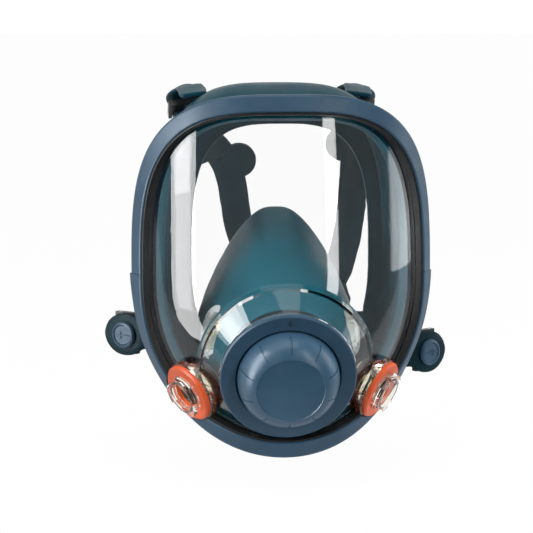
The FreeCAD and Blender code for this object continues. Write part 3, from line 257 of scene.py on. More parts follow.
def moulded_surface() -> None:
    """Make the group for moulded parts: mottled colour, fine grain and gloss that varies with handling."""
    tree, into, out = new_group(
        "moulded_surface",
        {
            "Color": ("NodeSocketColor", (0.5, 0.5, 0.5, 1)),
            "Shade": ("NodeSocketColor", (0.4, 0.4, 0.4, 1)),
            "Roughness": ("NodeSocketFloat", 0.4),
            "Gloss Spread": ("NodeSocketFloat", 0.1),
            "Mottle Scale": ("NodeSocketFloat", 40.0),
            "Grain Scale": ("NodeSocketFloat", 2500.0),
            "Flow Height": ("NodeSocketFloat", 0.15),
            "Dust": ("NodeSocketFloat", 0.05),
        },
        {"Color": "NodeSocketColor", "Roughness": "NodeSocketFloat", "Height": "NodeSocketFloat"},
    )
    place = tree.nodes.new("ShaderNodeTexCoord").outputs["Object"]
    mottle = noise(tree, place, into.outputs["Mottle Scale"], 4)
    grain = noise(tree, place, into.outputs["Grain Scale"], 2)
    handled = noise(tree, place, HANDLED_SCALE, 5)
    specks = noise(tree, place, SPECK_SCALE, 1)
    color = mixed_color(tree, remap(tree, mottle, 0.35, 0.68), into.outputs["Color"], into.outputs["Shade"])
    speck_mask = math_node(tree, "MULTIPLY", remap(tree, specks, 0.7, 0.78), into.outputs["Dust"])
    pale = tree.nodes.new("ShaderNodeRGB")
    pale.outputs[0].default_value = SPECK_TONE
    color = mixed_color(tree, speck_mask, color, pale.outputs[0])
    link(tree, color, out.inputs["Color"])
    spread = math_node(tree, "MULTIPLY", remap(tree, handled, 0.3, 0.7, -1, 1), into.outputs["Gloss Spread"])
    link(tree, math_node(tree, "ADD", spread, into.outputs["Roughness"]), out.inputs["Roughness"])
    flow = math_node(tree, "MULTIPLY", mottle, into.outputs["Flow Height"])
    link(tree, math_node(tree, "ADD", grain, flow), out.inputs["Height"])


def polished_surface() -> None:
    """Make the group for polished clear plastic: faint smears and hairline scratches in the gloss."""
    tree, into, out = new_group(
        "polished_surface",
        {"Roughness": ("NodeSocketFloat", 0.03), "Smears": ("NodeSocketFloat", 0.04)},
        {"Roughness": "NodeSocketFloat", "Height": "NodeSocketFloat"},
    )
    place = tree.nodes.new("ShaderNodeTexCoord").outputs["Object"]
    stretched = tree.nodes.new("ShaderNodeMapping")
    stretched.inputs["Scale"].default_value = (1, 1, 0.25)
    link(tree, place, stretched.inputs["Vector"])
    smear = noise(tree, stretched.outputs[0], SMEAR_SCALE, 5)
    hairlines = noise(tree, stretched.outputs[0], HAIRLINE_SCALE, 2)
    smeared = math_node(tree, "MULTIPLY", remap(tree, smear, 0.52, 0.75), into.outputs["Smears"])
    scratched = math_node(tree, "MULTIPLY", remap(tree, hairlines, 0.7, 0.8), into.outputs["Smears"])
    total = math_node(tree, "ADD", math_node(tree, "ADD", smeared, scratched), into.outputs["Roughness"])
    link(tree, total, out.inputs["Roughness"])
    link(tree, smear, out.inputs["Height"])


def linear(code: str) -> tuple[float, float, float, float]:
    """Linear colour of a hex code such as 5a7388."""
    shares = [int(code[i:i + 2], 16) / 255 for i in (0, 2, 4)]
    return (*[s / 12.92 if s <= 0.04045 else ((s + 0.055) / 1.055) ** 2.4 for s in shares], 1.0)


@dataclass(frozen=True)
class Moulded:
    """Finish of moulded plastic, rubber or metal.

    Colours are hex codes, scales are per metre and heights are in metres.
    """

    name: str
    color: str
    shade: str
    roughness: float = 0.4
    gloss_spread: float = 0.08
    mottle_scale: float = 40.0
    grain_scale: float = 2500.0
    grain_depth: float = 0.00004
    bump: float = 0.5
    dust: float = 0.03
    metallic: float = 0.0
    specular: float = 0.5
    translucency: float = 0.0

    def build(self) -> Material:
        """Make the material.

        Returns:
            The material, with its detail from the shared moulded group.
        """
        material, tree = new_material(self.name)
        shader = tree.nodes["Principled BSDF"]
        detail = group_node(tree, "moulded_surface")
        fill(detail, {
            "Color": linear(self.color), "Shade": linear(self.shade), "Roughness": self.roughness,
            "Gloss Spread": self.gloss_spread, "Mottle Scale": self.mottle_scale,
            "Grain Scale": self.grain_scale, "Dust": self.dust,
        })
        add_bump(tree, detail.outputs["Height"], shader.inputs["Normal"], self.bump, self.grain_depth)
        link(tree, detail.outputs["Color"], shader.inputs["Base Color"])
        link(tree, detail.outputs["Roughness"], shader.inputs["Roughness"])
        fill(shader, {
            "Metallic": self.metallic, "Specular IOR Level": self.specular,
            "Transmission Weight": self.translucency,
        })
        return material


@dataclass(frozen=True)
class Clear:
    """Finish of clear polished plastic, which lets light fall through it onto what it covers."""

    name: str
    tint: str = "f2f7f7"
    roughness: float = 0.02
    smears: float = 0.03
    refraction: float = 1.45
    specular: float = 0.5
    body: float = 1.0
    bump: float = 0.15
    smear_depth: float = 0.00003

    def build(self) -> Material:
        """Make the material.

        Returns:
            The material: a clear shader, with plain transparency for shadow rays.
        """
        material, tree = new_material(self.name)
        shader = tree.nodes["Principled BSDF"]
        fill(shader, {
            "Base Color": linear(self.tint), "Transmission Weight": self.body, "IOR": self.refraction,
            "Specular IOR Level": self.specular,
        })
        detail = group_node(tree, "polished_surface")
        fill(detail, {"Roughness": self.roughness, "Smears": self.smears})
        link(tree, detail.outputs["Roughness"], shader.inputs["Roughness"])
        add_bump(tree, detail.outputs["Height"], shader.inputs["Normal"], self.bump, self.smear_depth)
        through = tree.nodes.new("ShaderNodeBsdfTransparent")
        through.inputs["Color"].default_value = linear(self.tint)
        rays = tree.nodes.new("ShaderNodeLightPath")
        show_mixed(tree, rays.outputs["Is Shadow Ray"], shader.outputs[0], through.outputs[0])
        return material


FINISHES = (
    Moulded("slate_plastic", "34536a", "2f4c62", roughness=0.42, grain_depth=0.00003, specular=0.3),
    Moulded("cap_plastic", "3d6079", "385a72", roughness=0.36, grain_depth=0.00002, specular=0.4),
    Clear("clear_lens", tint="ffffff", roughness=0.01, smears=0.02, refraction=1.4),
    Clear("clear_fitting", tint="f4f5ee", roughness=0.05, smears=0.08),
    Clear("clear_collar", tint="f4f0e0", roughness=0.12, smears=0.1),
    Moulded("black_rubber", "121416", "0c0e10", roughness=0.5, specular=0.3),
    Moulded("green_silicone", "03404e", "023642", roughness=0.42, gloss_spread=0.06, specular=0.15),
    Moulded("teal_silicone", "004c5b", "004552", roughness=0.42, gloss_spread=0.06, specular=0.2),
    Moulded("orange_rubber", "e45c28", "d9521e", roughness=0.42, specular=0.35),
    Moulded("dark_plastic", "22272c", "1c2125", roughness=0.4, specular=0.35),
    Moulded("pale_plastic", "dfe6e4", "d2dad8", roughness=0.3, translucency=0.35),
    Moulded("cream_silicone", "ded39c", "d4c88c", roughness=0.36),
    Moulded("amber_film", "b98f48", "ac8340", roughness=0.22),
    Moulded("steel", "c3c7ca", "aeb3b7", roughness=0.26, metallic=1.0, grain_scale=900.0),
    Moulded("strap_rubber", "032a34", "02242d", roughness=0.55, specular=0.12),
)

PALETTE: dict[str, Material] = {}

NODE_FINISHES = {
    "exhale_cap": "cap_plastic",
    "left_inlet_collar": "clear_collar",
    "right_inlet_collar": "clear_collar",
    "left_inlet_fitting": "clear_fitting",
    "right_inlet_fitting": "clear_fitting",
}


# mesh helpers


def edges_of(vertices: list[bmesh.types.BMVert]) -> list[bmesh.types.BMEdge]:
    """Edges of some vertices, each once and in the same order on every run."""
    return list(dict.fromkeys(edge for vertex in vertices for edge in vertex.link_edges))


def ring_of(bm: BMesh, points: list[Vector]) -> list[bmesh.types.BMEdge]:
    """Put a closed ring of vertices through points.

    Args:
        bm: mesh that gets the ring.
        points: one point for each vertex, in order.

    Returns:
        The ring's edges.
    """
    made = bmesh.ops.create_circle(bm, segments=len(points), radius=1.0)["verts"]
    for vertex, point in zip(made, points):
        vertex.co = point
    return edges_of(made)


def mesh_of(name: str, bm: BMesh) -> bpy.types.Mesh:
    """Mesh with a name from a bmesh, which is freed."""
    mesh = bpy.data.meshes.new(name)
    bm.to_mesh(mesh)
    bm.free()
    return mesh


def placed(name: str, data: bpy.types.ID) -> bpy.types.Object:
    """Put a new object with this data in the scene."""
    made = bpy.data.objects.new(name, data)
    bpy.context.scene.collection.objects.link(made)
    return made


def ribbon(line: list[Vector], across: Vector) -> list[tuple[Vector, Vector, Vector]]:
    """Axes along a flat band.

    Args:
        line: points that the band's centre passes through.
        across: direction across the band.

    Returns:
        For each point, the point, the band's width direction and its thickness direction.
    """
    axes = []
    for i, point in enumerate(line):
        ahead = line[min(i + 1, len(line) - 1)] - line[max(i - 1, 0)]
        along = ahead.normalized()
        wide = (across - along * across.dot(along)).normalized()
        axes.append((point, wide, along.cross(wide).normalized()))
    return axes


def band_corners(half: float, thick: float, ease: float, edge: float) -> list[tuple[float, float]]:
    """Outline of a flat band round its middle, with its corners cut off.

    Args:
        half: half of the band's width.
        thick: half of its thickness.
        ease: width of each cut.
        edge: half of the height that stays upright at its edges.

    Returns:
        The corners as (across, out), in order.
    """
    return [
        (half - ease, thick), (ease - half, thick), (-half, edge), (-half, -edge),
        (ease - half, -thick), (half - ease, -thick), (half, -edge), (half, edge),
    ]


def lofted(rings: list[list[Vector]], closed: bool = False, capped: bool = False) -> BMesh:
    """Skin of a row of rings.

    Args:
        rings: rings of points, all with the same count.
        closed: whether the last ring joins the first.
        capped: whether the two end rings are filled.

    Returns:
        The mesh.
    """
    bm = bmesh.new()
    loops = [ring_of(bm, points) for points in rings]
    pairs = list(zip(loops, loops[1:]))
    if closed:
        pairs.append((loops[-1], loops[0]))
    for first, second in pairs:
        bmesh.ops.bridge_loops(bm, edges=first + second)
    if capped:
        bmesh.ops.edgeloop_fill(bm, edges=loops[0])
        bmesh.ops.edgeloop_fill(bm, edges=loops[-1])
    bmesh.ops.recalc_face_normals(bm, faces=bm.faces)
    return bm


def spun(profile: list[tuple[float, float]], place: Matrix, steps: int = 96) -> BMesh:
    """Solid of revolution.

    Args:
        profile: closed outline of (radius, height) in millimetres.
        place: matrix from the spin axis, local Z, to the mask.
        steps: number of facets round the axis.

    Returns:
        The mesh, in place.
    """
    bm = bmesh.new()
    made = bmesh.ops.create_circle(bm, segments=len(profile), radius=1.0)["verts"]
    for vertex, (radius, height) in zip(made, profile):
        vertex.co = Vector((radius * MM, 0, height * MM))
    bmesh.ops.spin(bm, geom=edges_of(made), cent=(0, 0, 0), axis=(0, 0, 1), angle=math.tau, steps=steps,
                   use_merge=True)
    bmesh.ops.remove_doubles(bm, verts=bm.verts, dist=1e-7)
    bmesh.ops.recalc_face_normals(bm, faces=bm.faces)
    bmesh.ops.transform(bm, matrix=place, verts=bm.verts)
    return bm


def smooth_line(points: list[Vector], per_span: int) -> list[Vector]:
    """Points along a smooth curve through given points.

    Args:
        points: points that the curve passes through.
        per_span: number of steps between two of them.

    Returns:
        The curve's points, both ends included.
    """
    ends = [points[0] * 2 - points[1]] + points + [points[-1] * 2 - points[-2]]
    line = []
    for before, start, end, after in zip(ends, ends[1:], ends[2:], ends[3:]):
        reach = (end - start).length
        leave = (end - before) * (reach / max((start - before).length + reach, 1e-9))
        arrive = (after - start) * (reach / max((after - end).length + reach, 1e-9))
        for step in range(per_span):
            t = step / per_span
            a = 2 * t ** 3 - 3 * t ** 2 + 1
            b = t ** 3 - 2 * t ** 2 + t
            c = -2 * t ** 3 + 3 * t ** 2
            d = t ** 3 - t ** 2
            line.append(start * a + leave * b + end * c + arrive * d)
    line.append(points[-1])
    return line


def finished(name: str, bm: BMesh, finish: str, crease: float = 40.0, level: int = 0,
             body: str = ROOT) -> bpy.types.Object:
    """Turn a mesh into a piece of the mask.

    Args:
        name: name of the piece.
        bm: its mesh, which is freed.
        finish: name of its material.
        crease: angle in degrees above which an edge stays sharp.
        level: subdivision level.
        body: body that it rides on.

    Returns:
        The object.
    """
    mesh = mesh_of(name, bm)
    for face in mesh.polygons:
        face.use_smooth = True
    mesh.set_sharp_from_angle(angle=math.radians(crease))
    mesh.materials.append(PALETTE[finish])
    piece = placed(name, mesh)
    if level:
        smoother = piece.modifiers.new("smooth", "SUBSURF")
        smoother.levels = level
        smoother.render_levels = level
    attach(piece, body)
    log.info("%s: %d faces", name, len(mesh.polygons))
    return piece


def basis(origin: Vector, across: Vector, along: Vector) -> Matrix:
    """Matrix with local X across, local Y along and local Z out of both."""
    out = across.cross(along).normalized()
    matrix = Matrix((across.normalized(), along.normalized(), out)).transposed().to_4x4()
    matrix.translation = origin
    return matrix


def facing(origin: Vector, out: Vector) -> Matrix:
    """Matrix at a point whose local Z looks along out and whose local Y stays upright."""
    out = out.normalized()
    across = Vector((0, 0, 1)).cross(out).normalized()
    return basis(origin, across, out.cross(across))


def heading(yaw: float, rise: float, side: float) -> Vector:
    """Unit direction turned from the front towards a side by yaw and lifted by rise, in degrees."""
    level = math.cos(math.radians(rise))
    return Vector((
        side * math.sin(math.radians(yaw)) * level,
        -math.cos(math.radians(yaw)) * level,
        math.sin(math.radians(rise)),
    ))


def seen_from(azimuth: float, elevation: float) -> Vector:
    """Unit direction towards a viewer, by signed azimuth and elevation in degrees."""
    return heading(abs(azimuth), elevation, math.copysign(1, azimuth))


# shared lines of the mask


@dataclass(frozen=True)
class Oval:
    """Rounded outline with a squarer brow than chin, in millimetres."""

    half_width: float
    top: float
    bottom: float
    brow_power: float = 3.3
    chin_power: float = 2.05

    def at(self, angle: float, inset: float = 0.0) -> tuple[float, float]:
        """Point (x, z) at an angle from +X, set in by inset.

        Args:
            angle: angle in radians.
            inset: distance inside the outline.

        Returns:
            Its x and z.
        """
        sine = math.sin(angle)
        cosine = math.cos(angle)
        power = self.brow_power if sine >= 0 else self.chin_power
        height = (self.top if sine >= 0 else self.bottom) - inset
        x = (self.half_width - inset) * math.copysign(abs(cosine) ** (2 / power), cosine)
        return x, height * math.copysign(abs(sine) ** (2 / power), sine)

    def even_angles(self, count: int) -> list[float]:
        """Angles of points spaced evenly round the outline."""
        fine = 2880
        angles = [math.tau * i / fine for i in range(fine + 1)]
        points = [self.at(angle) for angle in angles]
        lengths = [0.0]
        for before, after in zip(points, points[1:]):
            lengths.append(lengths[-1] + math.dist(before, after))
        chosen = []
        index = 0
        for i in range(count):
            goal = lengths[-1] * i / count
            while lengths[index + 1] < goal:
                index += 1
            chosen.append(angles[index])
        return chosen


@dataclass(frozen=True)
class VisorShape:
    """Outer surface of the visor: an ellipse leant back at the brow and curled at the chin.

    Sizes are in millimetres.
    """

    front_y: float = -105.0
    front_z: float = -20.0
    brow_radius: float = 530.0
    chin_radius: float = 217.0
    semi_width: float = 92.0
    semi_depth: float = 65.0
    chin_taper: float = 0.35
    chin_taper_height: float = 120.0

    def at(self, x: float, z: float) -> Vector:
        """Point of the surface above (x, z)."""
        drop = z - self.front_z
        radius = self.brow_radius if drop > 0 else self.chin_radius
        front = self.front_y + radius - math.sqrt(radius * radius - drop * drop)
        turn = min(max(-z, 0.0), self.chin_taper_height) / self.chin_taper_height
        narrow = 1 - self.chin_taper * (1 - math.cos(math.pi * turn)) / 2
        sine = x / (self.semi_width * narrow)
        return Vector((x, front + self.semi_depth * (1 - math.sqrt(1 - sine * sine)), z))

    def normal(self, x: float, z: float) -> Vector:
        """Unit normal of the surface, out of the front."""
        step = 0.05
        across = self.at(x + step, z) - self.at(x - step, z)
        upward = self.at(x, z + step) - self.at(x, z - step)
        return across.cross(upward).normalized()


WINDOW = Oval(84.5, 106.0, 98.0)
SEAL_OUTLINE = Oval(76.0, 118.0, 104.0)
SEAL_OPENING = Oval(57.0, 91.0, 86.0)
VISOR = VisorShape()


def window_axes(angle: float) -> tuple[Vector, Vector, Vector]:
    """Point of the window line with its outward direction and its normal, in millimetres.

    Args:
        angle: angle in radians.

    Returns:
        The point, the outward direction within the surface, and the normal.
    """
    step = 0.002
    origin = VISOR.at(*WINDOW.at(angle))
    along = VISOR.at(*WINDOW.at(angle + step)) - VISOR.at(*WINDOW.at(angle - step))
    normal = VISOR.normal(*WINDOW.at(angle))
    outward = along.cross(normal).normalized()
    if outward.dot(Vector((origin.x, 0, origin.z))) < 0:
        outward.negate()
    return origin, outward, normal


# soft pieces


@dataclass
class FaceSeal:
    """Silicone face seal: bead in the frame, skirt, rolled rim and inturned flap."""

    outline: Oval = SEAL_OUTLINE
    opening: Oval = SEAL_OPENING
    lean: float = 4.0
    wall: float = 2.6
    stations: int = 120
    frame_rear: float = 11.0
    band_inner: float = 4.0
    shoulder_y: float = -18.0
    opening_y: float = -7.0

    def section(self, angle: float) -> list[Vector]:
        """Closed section of the seal at an angle of the window line.

        Args:
            angle: angle in radians.

        Returns:
            Its points in metres.
        """
        origin, outward, normal = window_axes(angle)
        wall = self.wall
        exit_outer = -self.band_inner + 0.8

        def edge(a: float, b: float) -> Vector:
            return origin + outward * a + normal * b

        def outer(inset: float, y: float) -> Vector:
            x, z = self.outline.at(angle, inset)
            return Vector((x, y, z))

        def inner(inset: float, y: float) -> Vector:
            x, z = self.opening.at(angle, -inset)
            return Vector((x + self.lean, y, z))

        outside = smooth_line([
            edge(exit_outer, -7.0),
            edge(exit_outer, -self.frame_rear - 0.6),
            outer(1.0, self.shoulder_y - 26),
            outer(0.0, self.shoulder_y),
            outer(1.6, -5.0),
            outer(6.5, 0.0),
            inner(10.0, -1.4),
            inner(0.0, self.opening_y),
        ], 4)
        inside = smooth_line([
            inner(0.4, self.opening_y - wall * 0.6),
            inner(10.0, -1.4 - wall),
            outer(7.0, -wall),
            outer(1.6 + wall, -5.0 - wall * 0.5),
            outer(wall, self.shoulder_y),
            outer(1.0 + wall, self.shoulder_y - 26),
            edge(exit_outer - wall, -self.frame_rear - 0.6),
            edge(exit_outer - wall, -6.0),
        ], 4)
        return [point * MM for point in outside + inside]

    def build(self) -> None:
        """Make the seal's body."""
        angles = self.outline.even_angles(self.stations)
        bm = lofted([self.section(angle) for angle in angles], closed=True)
        piece = finished("seal_body", bm, "green_silicone", crease=50)
        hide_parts(*(node for node in frame["nodes"] if node.startswith("face_seal")))


@dataclass
class NoseCup:
    """Silicone nose cup with a collar on the front housing and two valve bosses."""

    unit_origin: Vector
    unit_axis: Vector
    peak: float = 40.0
    half_width: float = 51.0
    wide_z: float = -38.0
    bottom: float = 78.0
    rim_y: float = -13.0
    peak_power: float = 1.2
    side_power: float = 0.6
    tip_ease: float = 3.8
    swell: float = 3.0
    collar_radius: float = 35.4
    collar_depth: float = 19.0
    wall: float = 2.0
    around: int = 96
    rows: int = 16
    valve_hole: float = 14.6
    valve_depth: float = 14.0
    boss: tuple[tuple[float, float], ...] = (
        (13.7, 0), (18.2, 0), (18.9, -0.7), (19.4, -3.0), (20.6, -6.5), (13.7, -6.5),
    )

    def rim_point(self, angle: float, inset: float) -> Vector:
        """Point of the rim: a narrow peak over the nose and a round chin."""
        width = self.half_width - inset
        sine = math.sin(angle)
        if sine > 0:
            x = width * (1 - sine ** self.peak_power) ** self.side_power
            top = self.peak - 1.8 * inset
            below = (top - self.wide_z) * (1 - sine)
            z = top - math.hypot(below, self.tip_ease) + self.tip_ease
        else:
            x = width * math.sqrt(max(1 - sine * sine, 0))
            z = self.wide_z + (self.bottom - inset + self.wide_z) * sine
        return Vector((math.copysign(x, math.cos(angle)), self.rim_y, z))

    def row(self, share: float, inset: float) -> list[Vector]:
        """Ring round the cup, share 0 at its collar and 1 at its rim, in metres."""
        place = facing(self.unit_origin, self.unit_axis)
        points = []
        for i in range(self.around):
            angle = math.tau * (i + 0.5) / self.around
            radius = self.collar_radius - inset
            local = Vector((radius * math.cos(angle), radius * math.sin(angle), -self.collar_depth))
            start = place @ local
            end = self.rim_point(angle, inset)
            out = Vector((math.cos(angle), 0, math.sin(angle))) * (self.swell * math.sin(math.pi * share))
            points.append((start + (end - start) * share + out) * MM)
        return points

    def build(self, valves: list[Matrix]) -> None:
        """Make the cup's skin and the boss round each valve.

        Args:
            valves: places of the two valves, in millimetres.
        """
        outside = [self.row(i / self.rows, 0.0) for i in range(self.rows + 1)]
        inside = [self.row(i / self.rows, self.wall) for i in range(self.rows, -1, -1)]
        bm = lofted(outside + inside, closed=True)
        for place in valves:
            back = place.inverted()
            cut = []
            for face in bm.faces:
                local = back @ (face.calc_center_median() / MM)
                if math.hypot(local.x, local.y) < self.valve_hole and abs(local.z) < self.valve_depth:
                    cut.append(face)
            bmesh.ops.delete(bm, geom=cut, context="FACES")
        piece = finished("cup_body", bm, "teal_silicone", crease=60, level=1)
        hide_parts("nose_cup")
        for index, place in enumerate(valves):
            boss = spun(list(self.boss), Matrix.Scale(MM, 4) @ place @ Matrix.Scale(1 / MM, 4))
            finished(f"cup_boss_{index + 1}", boss, "teal_silicone", crease=50)


@dataclass
class FrontUnit:
    """Cap of the valve unit, with its domed flank and shallow grooves, and the ring's index ticks."""

    unit_origin: Vector
    unit_axis: Vector
    radius: float = 30.5
    height: float = 16.0
    face_radius: float = 20.5
    skirt: float = 1.6
    dome_turn: float = 76.0
    wall: float = 2.2
    recess: float = 3.8
    spigot_radius: float = 26.8
    spigot_length: float = 3.4
    grooves: int = 10
    groove_depth: float = 0.6
    groove_inset: float = 0.3
    groove_half_angle: float = 2.0
    groove_from: float = 22.6
    groove_to: float = 30.2
    least_slope: float = 0.05
    steps: int = 240
    tick_turns: tuple[float, ...] = (0.0, 65.0)
    tick_radius: float = 36.2
    tick_size: tuple[float, float, float] = (0.45, 2.6, 0.5)

    def dome(self, offset: float) -> list[tuple[float, float]]:
        """Outline of the dome from its foot to its flat face, moved outwards by an offset."""
        full = math.radians(self.dome_turn)
        outline = []
        for step in range(13):
            turn = full * step / 12
            reach = (1 - math.cos(turn)) / (1 - math.cos(full))
            climb = math.sin(turn) / math.sin(full)
            outline.append((
                self.radius - (self.radius - self.face_radius) * reach + offset * math.cos(turn),
                self.skirt + (self.height - self.skirt) * climb + offset * math.sin(turn),
            ))
        return outline

    def cap(self, place: Matrix) -> None:
        """Make the cap.

        Args:
            place: matrix from the unit's axis to the mask, in metres.
        """
        profile = [
            (self.spigot_radius, -self.recess - self.spigot_length), (self.spigot_radius, -self.recess),
            (self.radius, -self.recess), *self.dome(0.0), (self.face_radius - 0.4, self.height - 0.4),
            (0.0, self.height - 0.4), (0.0, self.height - self.wall),
            *reversed(self.dome(-self.wall)),
            (self.spigot_radius - self.wall, self.skirt),
            (self.spigot_radius - self.wall, -self.recess - self.spigot_length),
        ]
        bm = spun(profile, Matrix.Identity(4), self.steps)
        pitch = math.tau / self.grooves
        cut = []
        for face in bm.faces:
            middle = face.calc_center_median() / MM
            radius = math.hypot(middle.x, middle.y)
            turn = math.atan2(middle.x, middle.y) % pitch
            in_groove = min(turn, pitch - turn) < math.radians(self.groove_half_angle)
            on_flank = self.groove_from < radius < self.groove_to and middle.z > self.skirt
            if in_groove and on_flank and face.normal.z > self.least_slope:
                cut.append(face)
        bmesh.ops.inset_region(bm, faces=cut, thickness=self.groove_inset * MM,
                               depth=-self.groove_depth * MM, use_even_offset=True)
        bmesh.ops.transform(bm, matrix=place, verts=bm.verts)
        piece = finished("cap_shell", bm, "cap_plastic", crease=28, body="cap")
        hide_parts("exhale_cap")

    def ticks(self, place: Matrix) -> None:
        """Make the raised index ticks on the ring's front."""
        bm = bmesh.new()
        for degrees in self.tick_turns:
            spin = Matrix.Rotation(math.radians(degrees), 4, "Z")
            for x in (-1.5, 1.2):
                size = Matrix.Diagonal((*(length * MM for length in self.tick_size), 1))
                shift = Matrix.Translation(Vector((x, self.tick_radius, 0.05)) * MM)
                bmesh.ops.create_cube(bm, size=1.0, matrix=place @ spin @ shift @ size)
        finished("ring_ticks", bm, "slate_plastic", crease=20)

    def build(self) -> None:
        """Make the cap and the ticks."""
        place = facing(self.unit_origin, self.unit_axis)
        place.translation = place.translation * MM
        self.cap(place)
        self.ticks(place)


@dataclass(frozen=True)
class CrownPad:
    """Moulded rubber pad at the back of the harness."""

    sway: float = 12.0
    back_y: float = 74.0
    middle_z: float = -46.0
    width: float = 92.0
    height: float = 64.0
    wall: float = 3.5
    wrap: float = 12.0
    corner_power: float = 4.5
    columns: int = 40

    def build(self) -> None:
        """Make the pad with rounded corners."""
        rings = []
        half = self.width / 2
        for i in range(self.columns + 1):
            share = 0.995 * (2 * i / self.columns - 1)
            x = half * share
            y = self.back_y - self.wrap * share * share
            tall = self.height / 2 * (1 - abs(share) ** self.corner_power) ** (1 / self.corner_power)
            slope = -2 * self.wrap * share / half
            along = Vector((1, slope, 0)).normalized()
            lift = Vector((-along.y, along.x, 0))
            centre = Vector((x + self.sway, y, self.middle_z))
            thick = self.wall / 2
            ease = min(0.8, tall * 0.4)
            ring = []
            for a, b in ((1, 1), (-1, 1), (-1, -1), (1, -1)):
                first = (a * (tall - ease), b * thick) if a * b > 0 else (a * tall, b * (thick - ease))
                second = (a * tall, b * (thick - ease)) if a * b > 0 else (a * (tall - ease), b * thick)
                for rise, out in (first, second):
                    ring.append((centre + Vector((0, 0, rise)) + lift * out) * MM)
            rings.append(ring)
        piece = finished("pad_body", lofted(rings, capped=True), "strap_rubber", crease=50)
        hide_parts("crown_pad")


